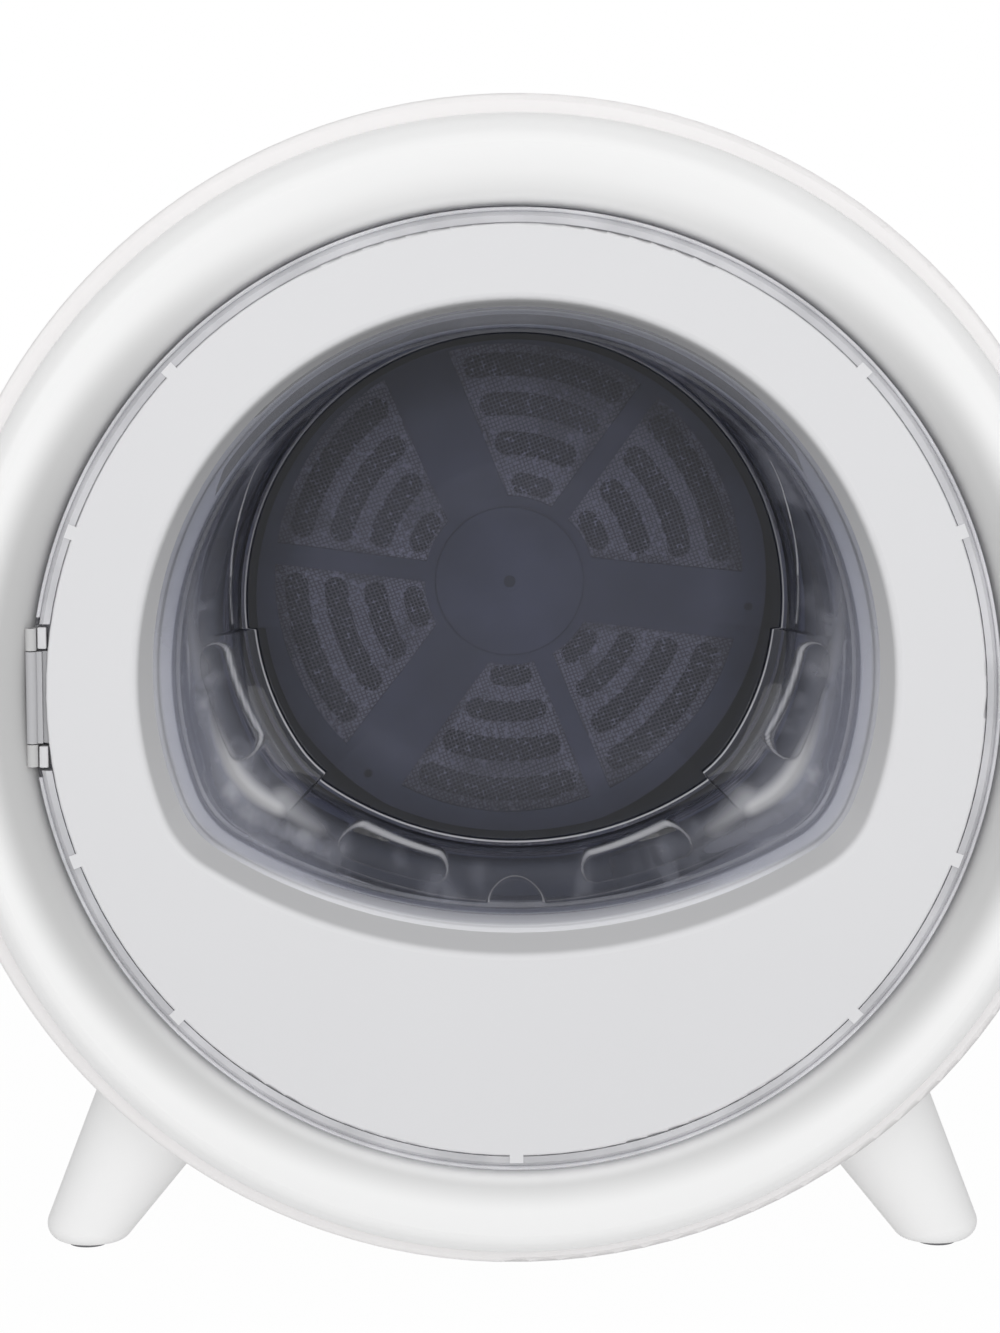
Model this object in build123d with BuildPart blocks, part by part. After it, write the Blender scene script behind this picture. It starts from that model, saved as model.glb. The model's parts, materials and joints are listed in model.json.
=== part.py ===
from build123d import *
import math
import os

# Portable clothes dryer. All sizes are in millimetres.
# +Z is up and the door faces -Y. The origin is on the floor, under the middle of the casing.

# Casing
BODY_RADIUS = 215.0
BODY_CLEARANCE = 20.0
BODY_DEPTH = 330.0
SHELL_WALL = 3.0
RIM_WIDTH = 7.0
RIM_SETBACK = 25.0
BACK_COVER_CROWN = 15.0
BACK_COVER_WALL = 3.0
CASE_SCREW_CIRCLE = 178.0
CASE_SCREW_HEAD = 4.0
CASE_SCREW_SHANK = 2.0
CASE_SCREW_SEAT = 1.8
CASE_SCREW_LENGTH = 14.0
CASE_BOSS_RADIUS = 5.0
FIT = 0.2

# Front bezel
BEZEL_CREST_RADIUS = 197.0
BEZEL_OPENING_RADIUS = 175.0
BEZEL_FLANK_DEPTH = 15.0
BEZEL_WALL = 2.5
BULKHEAD_SETBACK = 37.0
BULKHEAD_WALL = 3.0

# Door, as a stack of discs from the front backwards
DOOR_SETBACK = 7.0
DOOR_PANEL_RADIUS = 169.0
DOOR_PANEL_THICKNESS = 3.0
WINDOW_EDGE_ROUND = 4.0
DOOR_RIM_RADIUS = 173.0
DOOR_RIM_INSET = 0.5
DOOR_FLANGE = 2.5
DOOR_LENS_RADIUS = 166.0
DOOR_FRAME_RADIUS = 168.8
DOOR_FRAME_BORE = 148.0
DOOR_FRAME_DEPTH = 8.0
LENS_WALL = 3.0
LENS_BASE_DEPTH = 85.0

# Hinge at the door's left edge
HINGE_X = -174.0
HINGE_SETBACK = 8.0
HINGE_PIN_RADIUS = 1.0
HINGE_KNUCKLE_RADIUS = 2.0
HINGE_NOTCH_HALF = 26.0
HINGE_LUG_INNER = 17.0
HINGE_LUG_OUTER = 25.0
HINGE_ARM_REACH = 12.5
HINGE_PLATE = 3.8
RUNNING = 0.05

# Drum
DRUM_RISE = 19.0
DRUM_RADIUS = 150.0
DRUM_WALL = 1.2
DRUM_MOUTH_RADIUS = 126.0
DRUM_FRONT_Y = -100.0
DRUM_CORNER = 3.5
DRUM_CONE_Y = 60.0
DRUM_BACK_Y = 89.0
DRUM_BACK_RADIUS = 104.5
DRUM_BACK_THICKNESS = 2.2
SLOT_RADII = (42.0, 57.5, 72.5, 87.5)
SLOT_WIDTH = 9.0
SLOT_MARGIN = 3.0
MESH_THICKNESS = 0.8
MESH_RADIUS = 97.0
RETAINER_THICKNESS = 3.5
RETAINER_BORE = 95.5
RETAINER_HUB_RADIUS = 36.5
WIDE_RIB = 28.0
NARROW_RIB = 8.7
WIDE_RIB_ANGLE = -6.5
HUB_CAP_RADIUS = 32.0
HUB_CAP_THICKNESS = 3.0
SHAFT_RADIUS = 7.0
LIFTER_HEIGHT = 22.0
LIFTER_BASE = 34.0
LIFTER_TOP = 16.0

# Drive and air path
MOTOR_Z = 66.0
MOTOR_RADIUS = 28.0
MOTOR_SHAFT_RADIUS = 4.0
PULLEY_RADIUS = 9.0
BELT_THICKNESS = 2.0
BELT_WIDTH = 12.0
BELT_GAP = 0.3
BELT_Y = -6.0
IDLER_RADIUS = 12.0
BLOWER_RADIUS = 34.0
REAR_BULKHEAD_Y = 100.0
DUCT_DEPTH = 22.0
DUCT_WALL = 2.0

# Legs
FOOT_X = 174.0
FOOT_FRONT_Y = -45.0
FOOT_REAR_Y = 85.0
LEG_LEAN = 30.0
LEG_HALF_ANGLE = 9.0
LEG_END_RADIUS = 14.6
LEG_LENGTH = 105.0
LEG_END_ROUND = 7.0
PAD_RADIUS = 8.0
PAD_THICKNESS = 1.5
PAD_SHIFT = 4.0
LEG_BOLT_ANGLE = 38.0
LEG_BOLT_RADIUS = 3.0

# Controls on top of the casing
PANEL_Y = -70.0
PANEL_LENGTH = 130.0
PANEL_WIDTH = 40.0
PANEL_PROUD = 1.0
PANEL_WALL = 5.0
BUTTON_RADIUS = 6.5
BUTTON_PROUD = 2.0
BUTTON_TRAVEL = 1.0
BUTTON_PLACES = {"power": -44.0, "mode": 28.0, "start": 47.0}
BOARD_RISE = 197.0

# Power inlet on the back
INLET_X = 105.0
INLET_Z = 150.0
INLET_WIDTH = 28.0
INLET_HEIGHT = 21.0

AXIS_Z = BODY_CLEARANCE + BODY_RADIUS
DRUM_Z = AXIS_Z + DRUM_RISE
FRONT_Y = -BODY_DEPTH / 2
BACK_Y = BODY_DEPTH / 2
RIM_Y = FRONT_Y + RIM_SETBACK
SHELL_BACK_Y = BACK_Y - BACK_COVER_CROWN
CASING_BORE = BODY_RADIUS - SHELL_WALL
RIM_BORE = BODY_RADIUS - RIM_WIDTH
FLANK_Y = FRONT_Y + BEZEL_FLANK_DEPTH
BULKHEAD_Y = FRONT_Y + BULKHEAD_SETBACK
BULKHEAD_BACK_Y = BULKHEAD_Y + BULKHEAD_WALL
DOOR_Y = FRONT_Y + DOOR_SETBACK
PANEL_BACK_Y = DOOR_Y + DOOR_PANEL_THICKNESS
LENS_Y = PANEL_BACK_Y + DOOR_FLANGE
FRAME_Y = LENS_Y + DOOR_FLANGE
FRAME_BACK_Y = FRAME_Y + DOOR_FRAME_DEPTH
LENS_BASE_Y = FRONT_Y + LENS_BASE_DEPTH
HINGE_Y = FRONT_Y + HINGE_SETBACK
DRUM_OUTER = DRUM_RADIUS + DRUM_WALL
RETAINER_BACK_Y = DRUM_BACK_Y - DRUM_BACK_THICKNESS - MESH_THICKNESS
RETAINER_Y = RETAINER_BACK_Y - RETAINER_THICKNESS
HUB_CAP_Y = RETAINER_Y - HUB_CAP_THICKNESS
REAR_BULKHEAD_BACK_Y = REAR_BULKHEAD_Y + BULKHEAD_WALL
DUCT_BACK_Y = REAR_BULKHEAD_BACK_Y + DUCT_DEPTH
BELT_FRONT_Y = BELT_Y - BELT_WIDTH


class Outline:
    """A window outline: a round top meeting a shallower round bottom at two soft corners."""

    def __init__(self, top_radius, top_rise, bottom_radius, bottom_rise, corner_radius):
        self.top_radius = top_radius
        self.top_rise = top_rise
        self.bottom_radius = bottom_radius
        self.bottom_rise = bottom_rise
        self.corner_radius = corner_radius

    def corner_centre(self):
        """Return the centre of the right corner's arc, which touches the top and the bottom."""
        top_reach = self.top_radius - self.corner_radius
        bottom_reach = self.bottom_radius - self.corner_radius
        top_z = self.top_rise
        bottom_z = self.bottom_rise + self.bottom_radius
        z = top_reach**2 - bottom_reach**2 + bottom_z**2 - top_z**2
        z = z / (2 * (bottom_z - top_z))
        return Vector(math.sqrt(top_reach**2 - (z - top_z) ** 2), z)


# Heights are above the casing's axis.
WINDOW = Outline(137.0, 5.0, 211.5, -95.0, 38.0)
LENS_MOUTH = Outline(131.0, 8.5, 205.0, -87.0, 36.0)
LENS_BASE = Outline(106.2, 24.3, 130.0, -67.3, 55.0)


def across(y):
    """Return the upright plane across the machine at depth y, facing forwards."""
    return Plane(origin=(0, y, 0), x_dir=(1, 0, 0), z_dir=(0, -1, 0))


def spoke(angle, y, centre_z):
    """Return the plane across the machine whose local X runs outwards at an angle."""
    turn = math.radians(angle)
    return Plane(
        origin=(0, y, centre_z), x_dir=(math.cos(turn), 0, math.sin(turn)), z_dir=(0, -1, 0)
    )


def outwards(angle, y):
    """Return the plane on the casing's axis whose normal points outwards, angle from straight up."""
    turn = math.radians(angle)
    return Plane(
        origin=(0, y, AXIS_Z), x_dir=(0, 1, 0), z_dir=(math.sin(turn), 0, math.cos(turn))
    )


def turned(points, centre_z=AXIS_Z, centre_x=0.0, mode=Mode.ADD):
    """Turn a closed outline of (radius, depth) points about a front-to-back axis."""
    with BuildSketch(Plane.XY.offset(centre_z)) as section:
        with BuildLine():
            Polyline([(centre_x + radius, y) for radius, y in points], close=True)
        make_face()
    revolve(section.sketch, axis=Axis((centre_x, 0, centre_z), (0, 1, 0)), mode=mode)


def ring(inner, outer, front, back, centre_z=AXIS_Z, centre_x=0.0, mode=Mode.ADD):
    """Make a flat ring or, with no inner radius, a disc between two depths."""
    with BuildSketch(across(back)) as section:
        with Locations((centre_x, centre_z)):
            Circle(outer)
            if inner > 0:
                Circle(inner, mode=Mode.SUBTRACT)
    extrude(section.sketch, amount=back - front, mode=mode)


def block(x_range, y_range, z_range, mode=Mode.ADD):
    """Make a rectangular block from its limits."""
    width = x_range[1] - x_range[0]
    height = z_range[1] - z_range[0]
    with BuildSketch(across(y_range[1])) as section:
        with Locations((x_range[0] + width / 2, z_range[0] + height / 2)):
            Rectangle(width, height)
    extrude(section.sketch, amount=y_range[1] - y_range[0], mode=mode)


def peg(plane, radius, start, end, mode=Mode.ADD):
    """Make a round peg along a plane's normal, from start to end."""
    with BuildSketch(plane.offset(start)) as section:
        Circle(radius)
    extrude(section.sketch, amount=end - start, mode=mode)


def outline_face(outline, y, grow=0.0):
    """Draw a window outline at depth y, grown outwards by a margin."""
    corner = outline.corner_centre()
    top_centre = Vector(0, outline.top_rise)
    bottom_centre = Vector(0, outline.bottom_rise + outline.bottom_radius)
    to_top = (corner - top_centre).normalized()
    to_bottom = (corner - bottom_centre).normalized()
    shoulder = top_centre + to_top * (outline.top_radius + grow)
    middle = corner + (to_top + to_bottom).normalized() * (outline.corner_radius + grow)
    foot = bottom_centre + to_bottom * (outline.bottom_radius + grow)
    crown = (0, outline.top_rise + outline.top_radius + grow)
    base = (0, outline.bottom_rise - grow)
    with BuildSketch(spoke(0, y, AXIS_Z)) as face:
        with BuildLine():
            ThreePointArc(shoulder, crown, (-shoulder.X, shoulder.Y))
            ThreePointArc((-shoulder.X, shoulder.Y), (-middle.X, middle.Y), (-foot.X, foot.Y))
            ThreePointArc((-foot.X, foot.Y), base, foot)
            ThreePointArc(foot, middle, shoulder)
        make_face()
    return face.sketch


def window_loft(front, front_y, back, back_y, grow=0.0, mode=Mode.ADD):
    """Join one window outline to another further back."""
    loft([outline_face(front, front_y, grow), outline_face(back, back_y, grow)], mode=mode)


def write(piece, name):
    """Label a finished piece and write it under its own name."""
    piece.part.label = name
    export_step(piece.part, f"parts/{name}.step")


# Casing


def make_barrel_shell():
    """Barrel lying on its side, with a flat front rim, the control opening and bolt holes."""
    with BuildPart() as shell:
        turned([
            (RIM_BORE, RIM_Y),
            (BODY_RADIUS, RIM_Y),
            (BODY_RADIUS, SHELL_BACK_Y),
            (CASING_BORE, SHELL_BACK_Y),
            (CASING_BORE, RIM_Y + SHELL_WALL),
            (RIM_BORE, RIM_Y + SHELL_WALL),
        ])
        rounds = shell.edges().filter_by(GeomType.CIRCLE).group_by(Axis.Y)
        fillet(rounds[0].sort_by(SortBy.RADIUS)[-1], 2.5)
        rounds = shell.edges().filter_by(GeomType.CIRCLE).group_by(Axis.Y)
        fillet(rounds[-1].sort_by(SortBy.RADIUS)[-1], 1.5)
        panel_footprint(Mode.SUBTRACT)
        for side in (-1, 1):
            for y in (FOOT_FRONT_Y, FOOT_REAR_Y):
                bolt_line = outwards(side * (180 - LEG_BOLT_ANGLE), y)
                peg(bolt_line, LEG_BOLT_RADIUS + FIT, CASING_BORE - 5, BODY_RADIUS + 5, Mode.SUBTRACT)
    write(shell, "barrel_shell")


def panel_footprint(mode):
    """Raise the control panel's rounded plan through the top of the casing."""
    with BuildSketch(Plane.XY.offset(AXIS_Z + CASING_BORE / 2)) as plan:
        with Locations((0, PANEL_Y)):
            SlotOverall(PANEL_LENGTH, PANEL_WIDTH)
    extrude(plan.sketch, amount=BODY_RADIUS, mode=mode)


def bezel_section(inset, back_y, mode=Mode.ADD):
    """Draw the bezel's rolled lip, from the casing rim over the crest to the door opening."""
    outer = RIM_BORE - inset
    inner = BEZEL_OPENING_RADIUS + inset
    outer_roll_y = RIM_Y - 1
    crest_y = FRONT_Y + inset
    with BuildLine() as section:
        EllipticalCenterArc(
            (BEZEL_CREST_RADIUS, outer_roll_y),
            outer - BEZEL_CREST_RADIUS,
            outer_roll_y - crest_y,
            start_angle=-90,
            arc_size=90,
        )
        EllipticalCenterArc(
            (BEZEL_CREST_RADIUS, FLANK_Y),
            BEZEL_CREST_RADIUS - inner,
            FLANK_Y - crest_y,
            start_angle=180,
            arc_size=90,
        )
        Polyline((inner, FLANK_Y), (inner, back_y), (outer, back_y), (outer, outer_roll_y))
    make_face(section.edges(), mode=mode)


def make_front_bezel():
    """Rolled lip round the door and the straight wall of the well that the door closes into."""
    with BuildPart() as bezel:
        with BuildSketch(Plane.XY.offset(AXIS_Z)):
            bezel_section(0, BULKHEAD_Y)
            bezel_section(BEZEL_WALL, BULKHEAD_Y + 1, Mode.SUBTRACT)
        revolve(axis=Axis((0, 0, AXIS_Z), (0, 1, 0)))
    write(bezel, "front_bezel")


def make_front_bulkhead():
    """Inner front wall with a funnel that leads into the drum's mouth."""
    funnel_front = 134.0
    funnel_back = DRUM_MOUTH_RADIUS - 4.5
    funnel_y = DRUM_FRONT_Y - 8
    nose_y = DRUM_FRONT_Y + 2
    with BuildPart() as bulkhead:
        ring(0, CASING_BORE, BULKHEAD_Y, BULKHEAD_BACK_Y)
        ring(0, funnel_front, BULKHEAD_Y - 1, BULKHEAD_BACK_Y + 1, DRUM_Z, mode=Mode.SUBTRACT)
        turned([
            (funnel_front, BULKHEAD_BACK_Y),
            (funnel_front + 2.5, BULKHEAD_BACK_Y),
            (funnel_back + 2.5, funnel_y),
            (funnel_back + 2.5, nose_y),
            (funnel_back, nose_y),
            (funnel_back, funnel_y),
            (funnel_front, BULKHEAD_Y),
        ], DRUM_Z)
    write(bulkhead, "front_bulkhead")


def make_mouth_seal():
    """Felt ring that the drum's front lip runs on."""
    with BuildPart() as seal:
        ring(
            DRUM_MOUTH_RADIUS - 2.0,
            DRUM_MOUTH_RADIUS - 0.4,
            DRUM_FRONT_Y - 6,
            DRUM_FRONT_Y + 1.5,
            DRUM_Z,
        )
    write(seal, "mouth_seal")


def make_door_gasket():
    """Soft ring on the front bulkhead that the closed door almost touches."""
    with BuildPart() as gasket:
        turned([
            (154.0, BULKHEAD_Y),
            (161.0, BULKHEAD_Y),
            (161.0, BULKHEAD_Y - 5),
            (158.5, BULKHEAD_Y - 9),
            (158.5, FRAME_BACK_Y + 0.5),
            (155.5, FRAME_BACK_Y + 0.5),
            (155.5, BULKHEAD_Y - 6),
            (154.0, BULKHEAD_Y - 4),
        ])
    write(gasket, "door_gasket")


def grille(centre_z, rows):
    """Cut a stack of level air slots through the back cover."""
    with BuildSketch(across(BACK_Y + 1)) as slots:
        with Locations((0, centre_z)):
            with GridLocations(0, 8.5, 1, rows):
                SlotOverall(86.0, 3.6)
    extrude(slots.sketch, amount=BACK_COVER_CROWN, mode=Mode.SUBTRACT)


def case_screw_places():
    """Return the places of the back cover's screws round the casing."""
    return PolarLocations(CASE_SCREW_CIRCLE, 6)


def case_screw_discs(radius, start_y, depth, mode=Mode.ADD):
    """Make a disc at every case screw's place, from one depth forwards."""
    with BuildSketch(across(start_y)) as discs:
        with Locations((0, AXIS_Z)):
            with case_screw_places():
                Circle(radius)
    extrude(discs.sketch, amount=depth, mode=mode)


def make_back_cover():
    """Shallow back pan with two grilles, the inlet's opening and screw counterbores."""
    flat = 188.0
    side_y = SHELL_BACK_Y - 4
    with BuildPart() as cover:
        turned([
            (0, BACK_Y),
            (flat, BACK_Y),
            (204.0, BACK_Y - 5),
            (CASING_BORE, SHELL_BACK_Y),
            (CASING_BORE, side_y),
            (CASING_BORE - 3, side_y),
            (CASING_BORE - 3, SHELL_BACK_Y),
            (202.0, BACK_Y - 8),
            (flat, BACK_Y - BACK_COVER_WALL),
            (0, BACK_Y - BACK_COVER_WALL),
        ])
        grille(95.0, 9)
        grille(385.0, 5)
        block(
            (INLET_X - INLET_WIDTH / 2, INLET_X + INLET_WIDTH / 2),
            (BACK_Y - 5, BACK_Y + 1),
            (INLET_Z - INLET_HEIGHT / 2, INLET_Z + INLET_HEIGHT / 2),
            Mode.SUBTRACT,
        )
        case_screw_discs(CASE_SCREW_HEAD + FIT, BACK_Y, CASE_SCREW_SEAT, Mode.SUBTRACT)
        case_screw_discs(CASE_SCREW_SHANK, BACK_Y, BACK_COVER_CROWN, Mode.SUBTRACT)
    write(cover, "back_cover")


def make_case_screws():
    """Six screws that hold the back cover, as one group."""
    with BuildPart() as screws:
        head_y = BACK_Y - 0.2
        case_screw_discs(CASE_SCREW_HEAD, head_y, CASE_SCREW_SEAT - 0.2)
        case_screw_discs(CASE_SCREW_SHANK, head_y, CASE_SCREW_LENGTH)
        with BuildSketch(across(head_y)):
            with Locations((0, AXIS_Z)):
                with case_screw_places():
                    Rectangle(5.0, 0.9)
                    Rectangle(0.9, 5.0)
        extrude(amount=0.9, mode=Mode.SUBTRACT)
    write(screws, "case_screws")


def make_power_inlet():
    """Recessed mains inlet, flush with the back cover."""
    with BuildPart() as inlet:
        block(
            (INLET_X - INLET_WIDTH / 2, INLET_X + INLET_WIDTH / 2),
            (BACK_Y - 20, BACK_Y),
            (INLET_Z - INLET_HEIGHT / 2, INLET_Z + INLET_HEIGHT / 2),
        )
        with BuildSketch(across(BACK_Y)) as recess:
            with Locations((INLET_X, INLET_Z)):
                Rectangle(24.0, 16.0)
            chamfer(recess.vertices().group_by(Axis.Y)[-1], 4.0)
        extrude(amount=16.5, mode=Mode.SUBTRACT)
    write(inlet, "power_inlet")


def make_inlet_pins():
    """Three contact pins on the floor of the power inlet."""
    with BuildPart() as pins:
        with BuildSketch(across(BACK_Y - 16.5)):
            with Locations((INLET_X, INLET_Z + 2.0)):
                Rectangle(2.0, 4.0)
            with Locations((INLET_X - 7.0, INLET_Z - 2.0), (INLET_X + 7.0, INLET_Z - 2.0)):
                Rectangle(2.0, 4.0)
        extrude(amount=-10.5)
    write(pins, "inlet_pins")


# Legs


def make_leg(side, y, name):
    """Tapered peg leg that leans outwards, saddled to the barrel and flat on the floor."""
    lean = math.radians(LEG_LEAN)
    foot = Plane(
        origin=(side * FOOT_X, y, PAD_THICKNESS),
        x_dir=(0, 1, 0),
        z_dir=(-side * math.sin(lean), 0, math.cos(lean)),
    )
    below = -12.0
    taper = math.tan(math.radians(LEG_HALF_ANGLE))
    bolt_line = outwards(side * (180 - LEG_BOLT_ANGLE), y)
    with BuildPart() as leg:
        with BuildSketch(foot.offset(below)):
            Circle(LEG_END_RADIUS + below * taper)
        with BuildSketch(foot.offset(LEG_LENGTH)):
            Circle(LEG_END_RADIUS + LEG_LENGTH * taper)
        loft()
        split(bisect_by=Plane.XY.offset(PAD_THICKNESS), keep=Keep.TOP)
        fillet(leg.edges().group_by(Axis.Z)[0], LEG_END_ROUND)
        ring(0, BODY_RADIUS, y - 80, y + 80, mode=Mode.SUBTRACT)
        peg(bolt_line, LEG_BOLT_RADIUS, BODY_RADIUS - 5, BODY_RADIUS + 22, Mode.SUBTRACT)
    write(leg, name)


def make_leg_bolts():
    """Four bolts that hold the legs from inside the barrel, as one group."""
    with BuildPart() as bolts:
        for side in (-1, 1):
            for y in (FOOT_FRONT_Y, FOOT_REAR_Y):
                bolt_line = outwards(side * (180 - LEG_BOLT_ANGLE), y)
                peg(bolt_line, LEG_BOLT_RADIUS, CASING_BORE - 2, BODY_RADIUS + 20)
                peg(bolt_line, 6.0, CASING_BORE - 5, CASING_BORE - 0.5)
    write(bolts, "leg_bolts")


def make_foot_pads():
    """Four small rubber pads, one under each leg, as one group."""
    pad_x = FOOT_X - PAD_SHIFT
    with BuildPart() as pads:
        with BuildSketch():
            for y in (FOOT_FRONT_Y, FOOT_REAR_Y):
                with Locations((-pad_x, y), (pad_x, y)):
                    Circle(PAD_RADIUS)
        extrude(amount=PAD_THICKNESS)
        fillet(pads.edges().group_by(Axis.Z)[0], 0.5)
    write(pads, "foot_pads")


# Door


def make_door_panel():
    """White front panel of the door, with the window's funnel-shaped lip and rim tabs."""
    lip_wall = 2.4
    tab_angles = (20.5, 43.5, 136.5, 159.5, 200.5, 223.5, 270.0, 316.5, 339.5)
    with BuildPart() as panel:
        ring(0, DOOR_PANEL_RADIUS, DOOR_Y, PANEL_BACK_Y)
        fillet(panel.edges().group_by(Axis.Y)[0], 1.2)
        with BuildSketch(across(DOOR_Y + DOOR_RIM_INSET)):
            with Locations((0, AXIS_Z)):
                for angle in tab_angles:
                    with PolarLocations(DOOR_PANEL_RADIUS + 0.2, 1, start_angle=angle):
                        Rectangle(4.6, 5.0)
        extrude(amount=DOOR_RIM_INSET)
        window_loft(WINDOW, DOOR_Y + 1.0, LENS_MOUTH, PANEL_BACK_Y + DOOR_FLANGE, lip_wall)
        window_loft(WINDOW, DOOR_Y, LENS_MOUTH, PANEL_BACK_Y + DOOR_FLANGE, mode=Mode.SUBTRACT)
        fillet(window_edges(panel), WINDOW_EDGE_ROUND)
    write(panel, "door_panel")


def window_edges(panel):
    """Pick the edges where the panel's front face turns into the window's lip."""
    front = panel.faces().sort_by(Axis.Y)[0]
    return front.inner_wires()[0].edges()


def make_door_rim():
    """Clear ring round the door, with a step that carries the white panel."""
    with BuildPart() as rim:
        turned([
            (DOOR_PANEL_RADIUS + FIT, DOOR_Y + DOOR_RIM_INSET),
            (DOOR_RIM_RADIUS - 1.5, DOOR_Y + DOOR_RIM_INSET),
            (DOOR_RIM_RADIUS, DOOR_Y + DOOR_RIM_INSET + 1.5),
            (DOOR_RIM_RADIUS, FRAME_BACK_Y),
            (DOOR_PANEL_RADIUS + FIT, FRAME_BACK_Y),
            (DOOR_PANEL_RADIUS + FIT, LENS_Y),
            (DOOR_PANEL_RADIUS - 6, LENS_Y),
            (DOOR_PANEL_RADIUS - 6, PANEL_BACK_Y),
            (DOOR_PANEL_RADIUS + FIT, PANEL_BACK_Y),
        ])
        block(
            (HINGE_X - 2, -DOOR_PANEL_RADIUS + 1.9),
            (DOOR_Y - 1, FRAME_BACK_Y + 1),
            (AXIS_Z - HINGE_NOTCH_HALF - 0.5, AXIS_Z + HINGE_NOTCH_HALF + 0.5),
            Mode.SUBTRACT,
        )
        block(
            (HINGE_X - 2, -DOOR_PANEL_RADIUS + 8),
            (DOOR_Y - 1, LENS_Y),
            (AXIS_Z - HINGE_LUG_INNER - 0.5, AXIS_Z + HINGE_LUG_INNER + 0.5),
            Mode.SUBTRACT,
        )
    write(rim, "door_rim")


def make_door_lens():
    """Smoked bowl behind the window, with the flat flange that the frame clamps."""
    with BuildPart() as lens:
        ring(0, DOOR_LENS_RADIUS, LENS_Y, FRAME_Y)
        window_loft(LENS_MOUTH, LENS_Y, LENS_BASE, LENS_BASE_Y, LENS_WALL)
        fillet(lens.edges().group_by(Axis.Y)[-1], 7.0)
        window_loft(LENS_MOUTH, LENS_Y, LENS_BASE, LENS_BASE_Y - LENS_WALL, mode=Mode.SUBTRACT)
    write(lens, "door_lens")


def door_screw_places():
    """Return the places of the screws round the inner door frame."""
    return PolarLocations(164.5, 8, start_angle=22.5)


def make_door_frame():
    """Inner frame ring that clamps the lens against the rim."""
    with BuildPart() as frame:
        ring(DOOR_FRAME_BORE, DOOR_FRAME_RADIUS, FRAME_Y, FRAME_BACK_Y)
        chamfer(frame.edges().group_by(Axis.Y)[-1].sort_by(SortBy.RADIUS)[0], 2.0)
        with BuildSketch(across(FRAME_BACK_Y)):
            with Locations((0, AXIS_Z)):
                with door_screw_places():
                    Circle(1.5)
        extrude(amount=6.0, mode=Mode.SUBTRACT)
    write(frame, "door_frame")


def make_door_screws():
    """Eight screws through the inner frame, as one group."""
    with BuildPart() as screws:
        with BuildSketch(across(FRAME_BACK_Y)):
            with Locations((0, AXIS_Z)):
                with door_screw_places():
                    Circle(1.5)
        extrude(amount=5.8)
        with BuildSketch(across(FRAME_BACK_Y + 1.6)):
            with Locations((0, AXIS_Z)):
                with door_screw_places():
                    Circle(2.8)
        extrude(amount=1.6)
    write(screws, "door_screws")


def make_catch_plate():
    """Steel plate on the door frame that the catch magnet pulls."""
    with BuildPart() as plate:
        block((162.0, 168.0), (FRAME_BACK_Y, FRAME_BACK_Y + 1.4), (AXIS_Z - 9, AXIS_Z + 9))
    write(plate, "catch_plate")


def make_catch_magnet():
    """Magnet block on the front bulkhead, opposite the hinge."""
    with BuildPart() as magnet:
        block((162.5, 170.0), (FRAME_BACK_Y + 2, BULKHEAD_Y), (AXIS_Z - 9, AXIS_Z + 9))
    write(magnet, "catch_magnet")


def make_door_switch():
    """Door switch behind the front bulkhead."""
    with BuildPart() as switch:
        block((156.0, 172.0), (BULKHEAD_BACK_Y, BULKHEAD_BACK_Y + 9), (AXIS_Z + 14, AXIS_Z + 42))
    write(switch, "door_switch")


def hinge_peg(radius, low, high, mode=Mode.ADD):
    """Make an upright peg on the hinge's axis, between two heights from the casing's axis."""
    with BuildSketch(Plane.XY.offset(AXIS_Z + low)) as section:
        with Locations((HINGE_X, HINGE_Y)):
            Circle(radius)
    extrude(section.sketch, amount=high - low, mode=mode)


def make_hinge_bracket():
    """Bracket on the wall of the door's well, with a lug above and below the door's knuckle."""
    reach = HINGE_KNUCKLE_RADIUS
    inner_x = HINGE_X + reach
    with BuildPart() as bracket:
        block(
            (-BEZEL_OPENING_RADIUS, inner_x),
            (FLANK_Y, FRAME_BACK_Y),
            (AXIS_Z - HINGE_LUG_OUTER, AXIS_Z + HINGE_LUG_OUTER),
        )
        for low, high in ((-HINGE_LUG_OUTER, -HINGE_LUG_INNER), (HINGE_LUG_INNER, HINGE_LUG_OUTER)):
            hinge_peg(reach, low, high)
            block((HINGE_X - reach, inner_x), (HINGE_Y, FLANK_Y), (AXIS_Z + low, AXIS_Z + high))
        hinge_peg(HINGE_PIN_RADIUS, -HINGE_LUG_OUTER, HINGE_LUG_OUTER, Mode.SUBTRACT)
        with BuildSketch(Plane.XY.offset(AXIS_Z)):
            bezel_section(0, BULKHEAD_Y)
        revolve(axis=Axis((0, 0, AXIS_Z), (0, 1, 0)), mode=Mode.SUBTRACT)
    write(bracket, "hinge_bracket")


def make_hinge_pin():
    """Pin held by the two lugs."""
    with BuildPart() as pin:
        hinge_peg(HINGE_PIN_RADIUS, -HINGE_LUG_OUTER, HINGE_LUG_OUTER)
    write(pin, "hinge_pin")


def make_hinge_arm():
    """Knuckle that turns on the pin and the plate that carries it under the door panel."""
    half = HINGE_LUG_INNER - 0.4
    height = (AXIS_Z - half, AXIS_Z + half)
    with BuildPart() as arm:
        hinge_peg(HINGE_KNUCKLE_RADIUS, -half, half)
        block((HINGE_X, HINGE_X + HINGE_PLATE), (HINGE_Y, LENS_Y), height)
        block((HINGE_X, HINGE_X + HINGE_ARM_REACH), (PANEL_BACK_Y, LENS_Y), height)
        hinge_peg(HINGE_PIN_RADIUS + RUNNING, -half, half, Mode.SUBTRACT)
    write(arm, "hinge_arm")


# Drum


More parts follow.
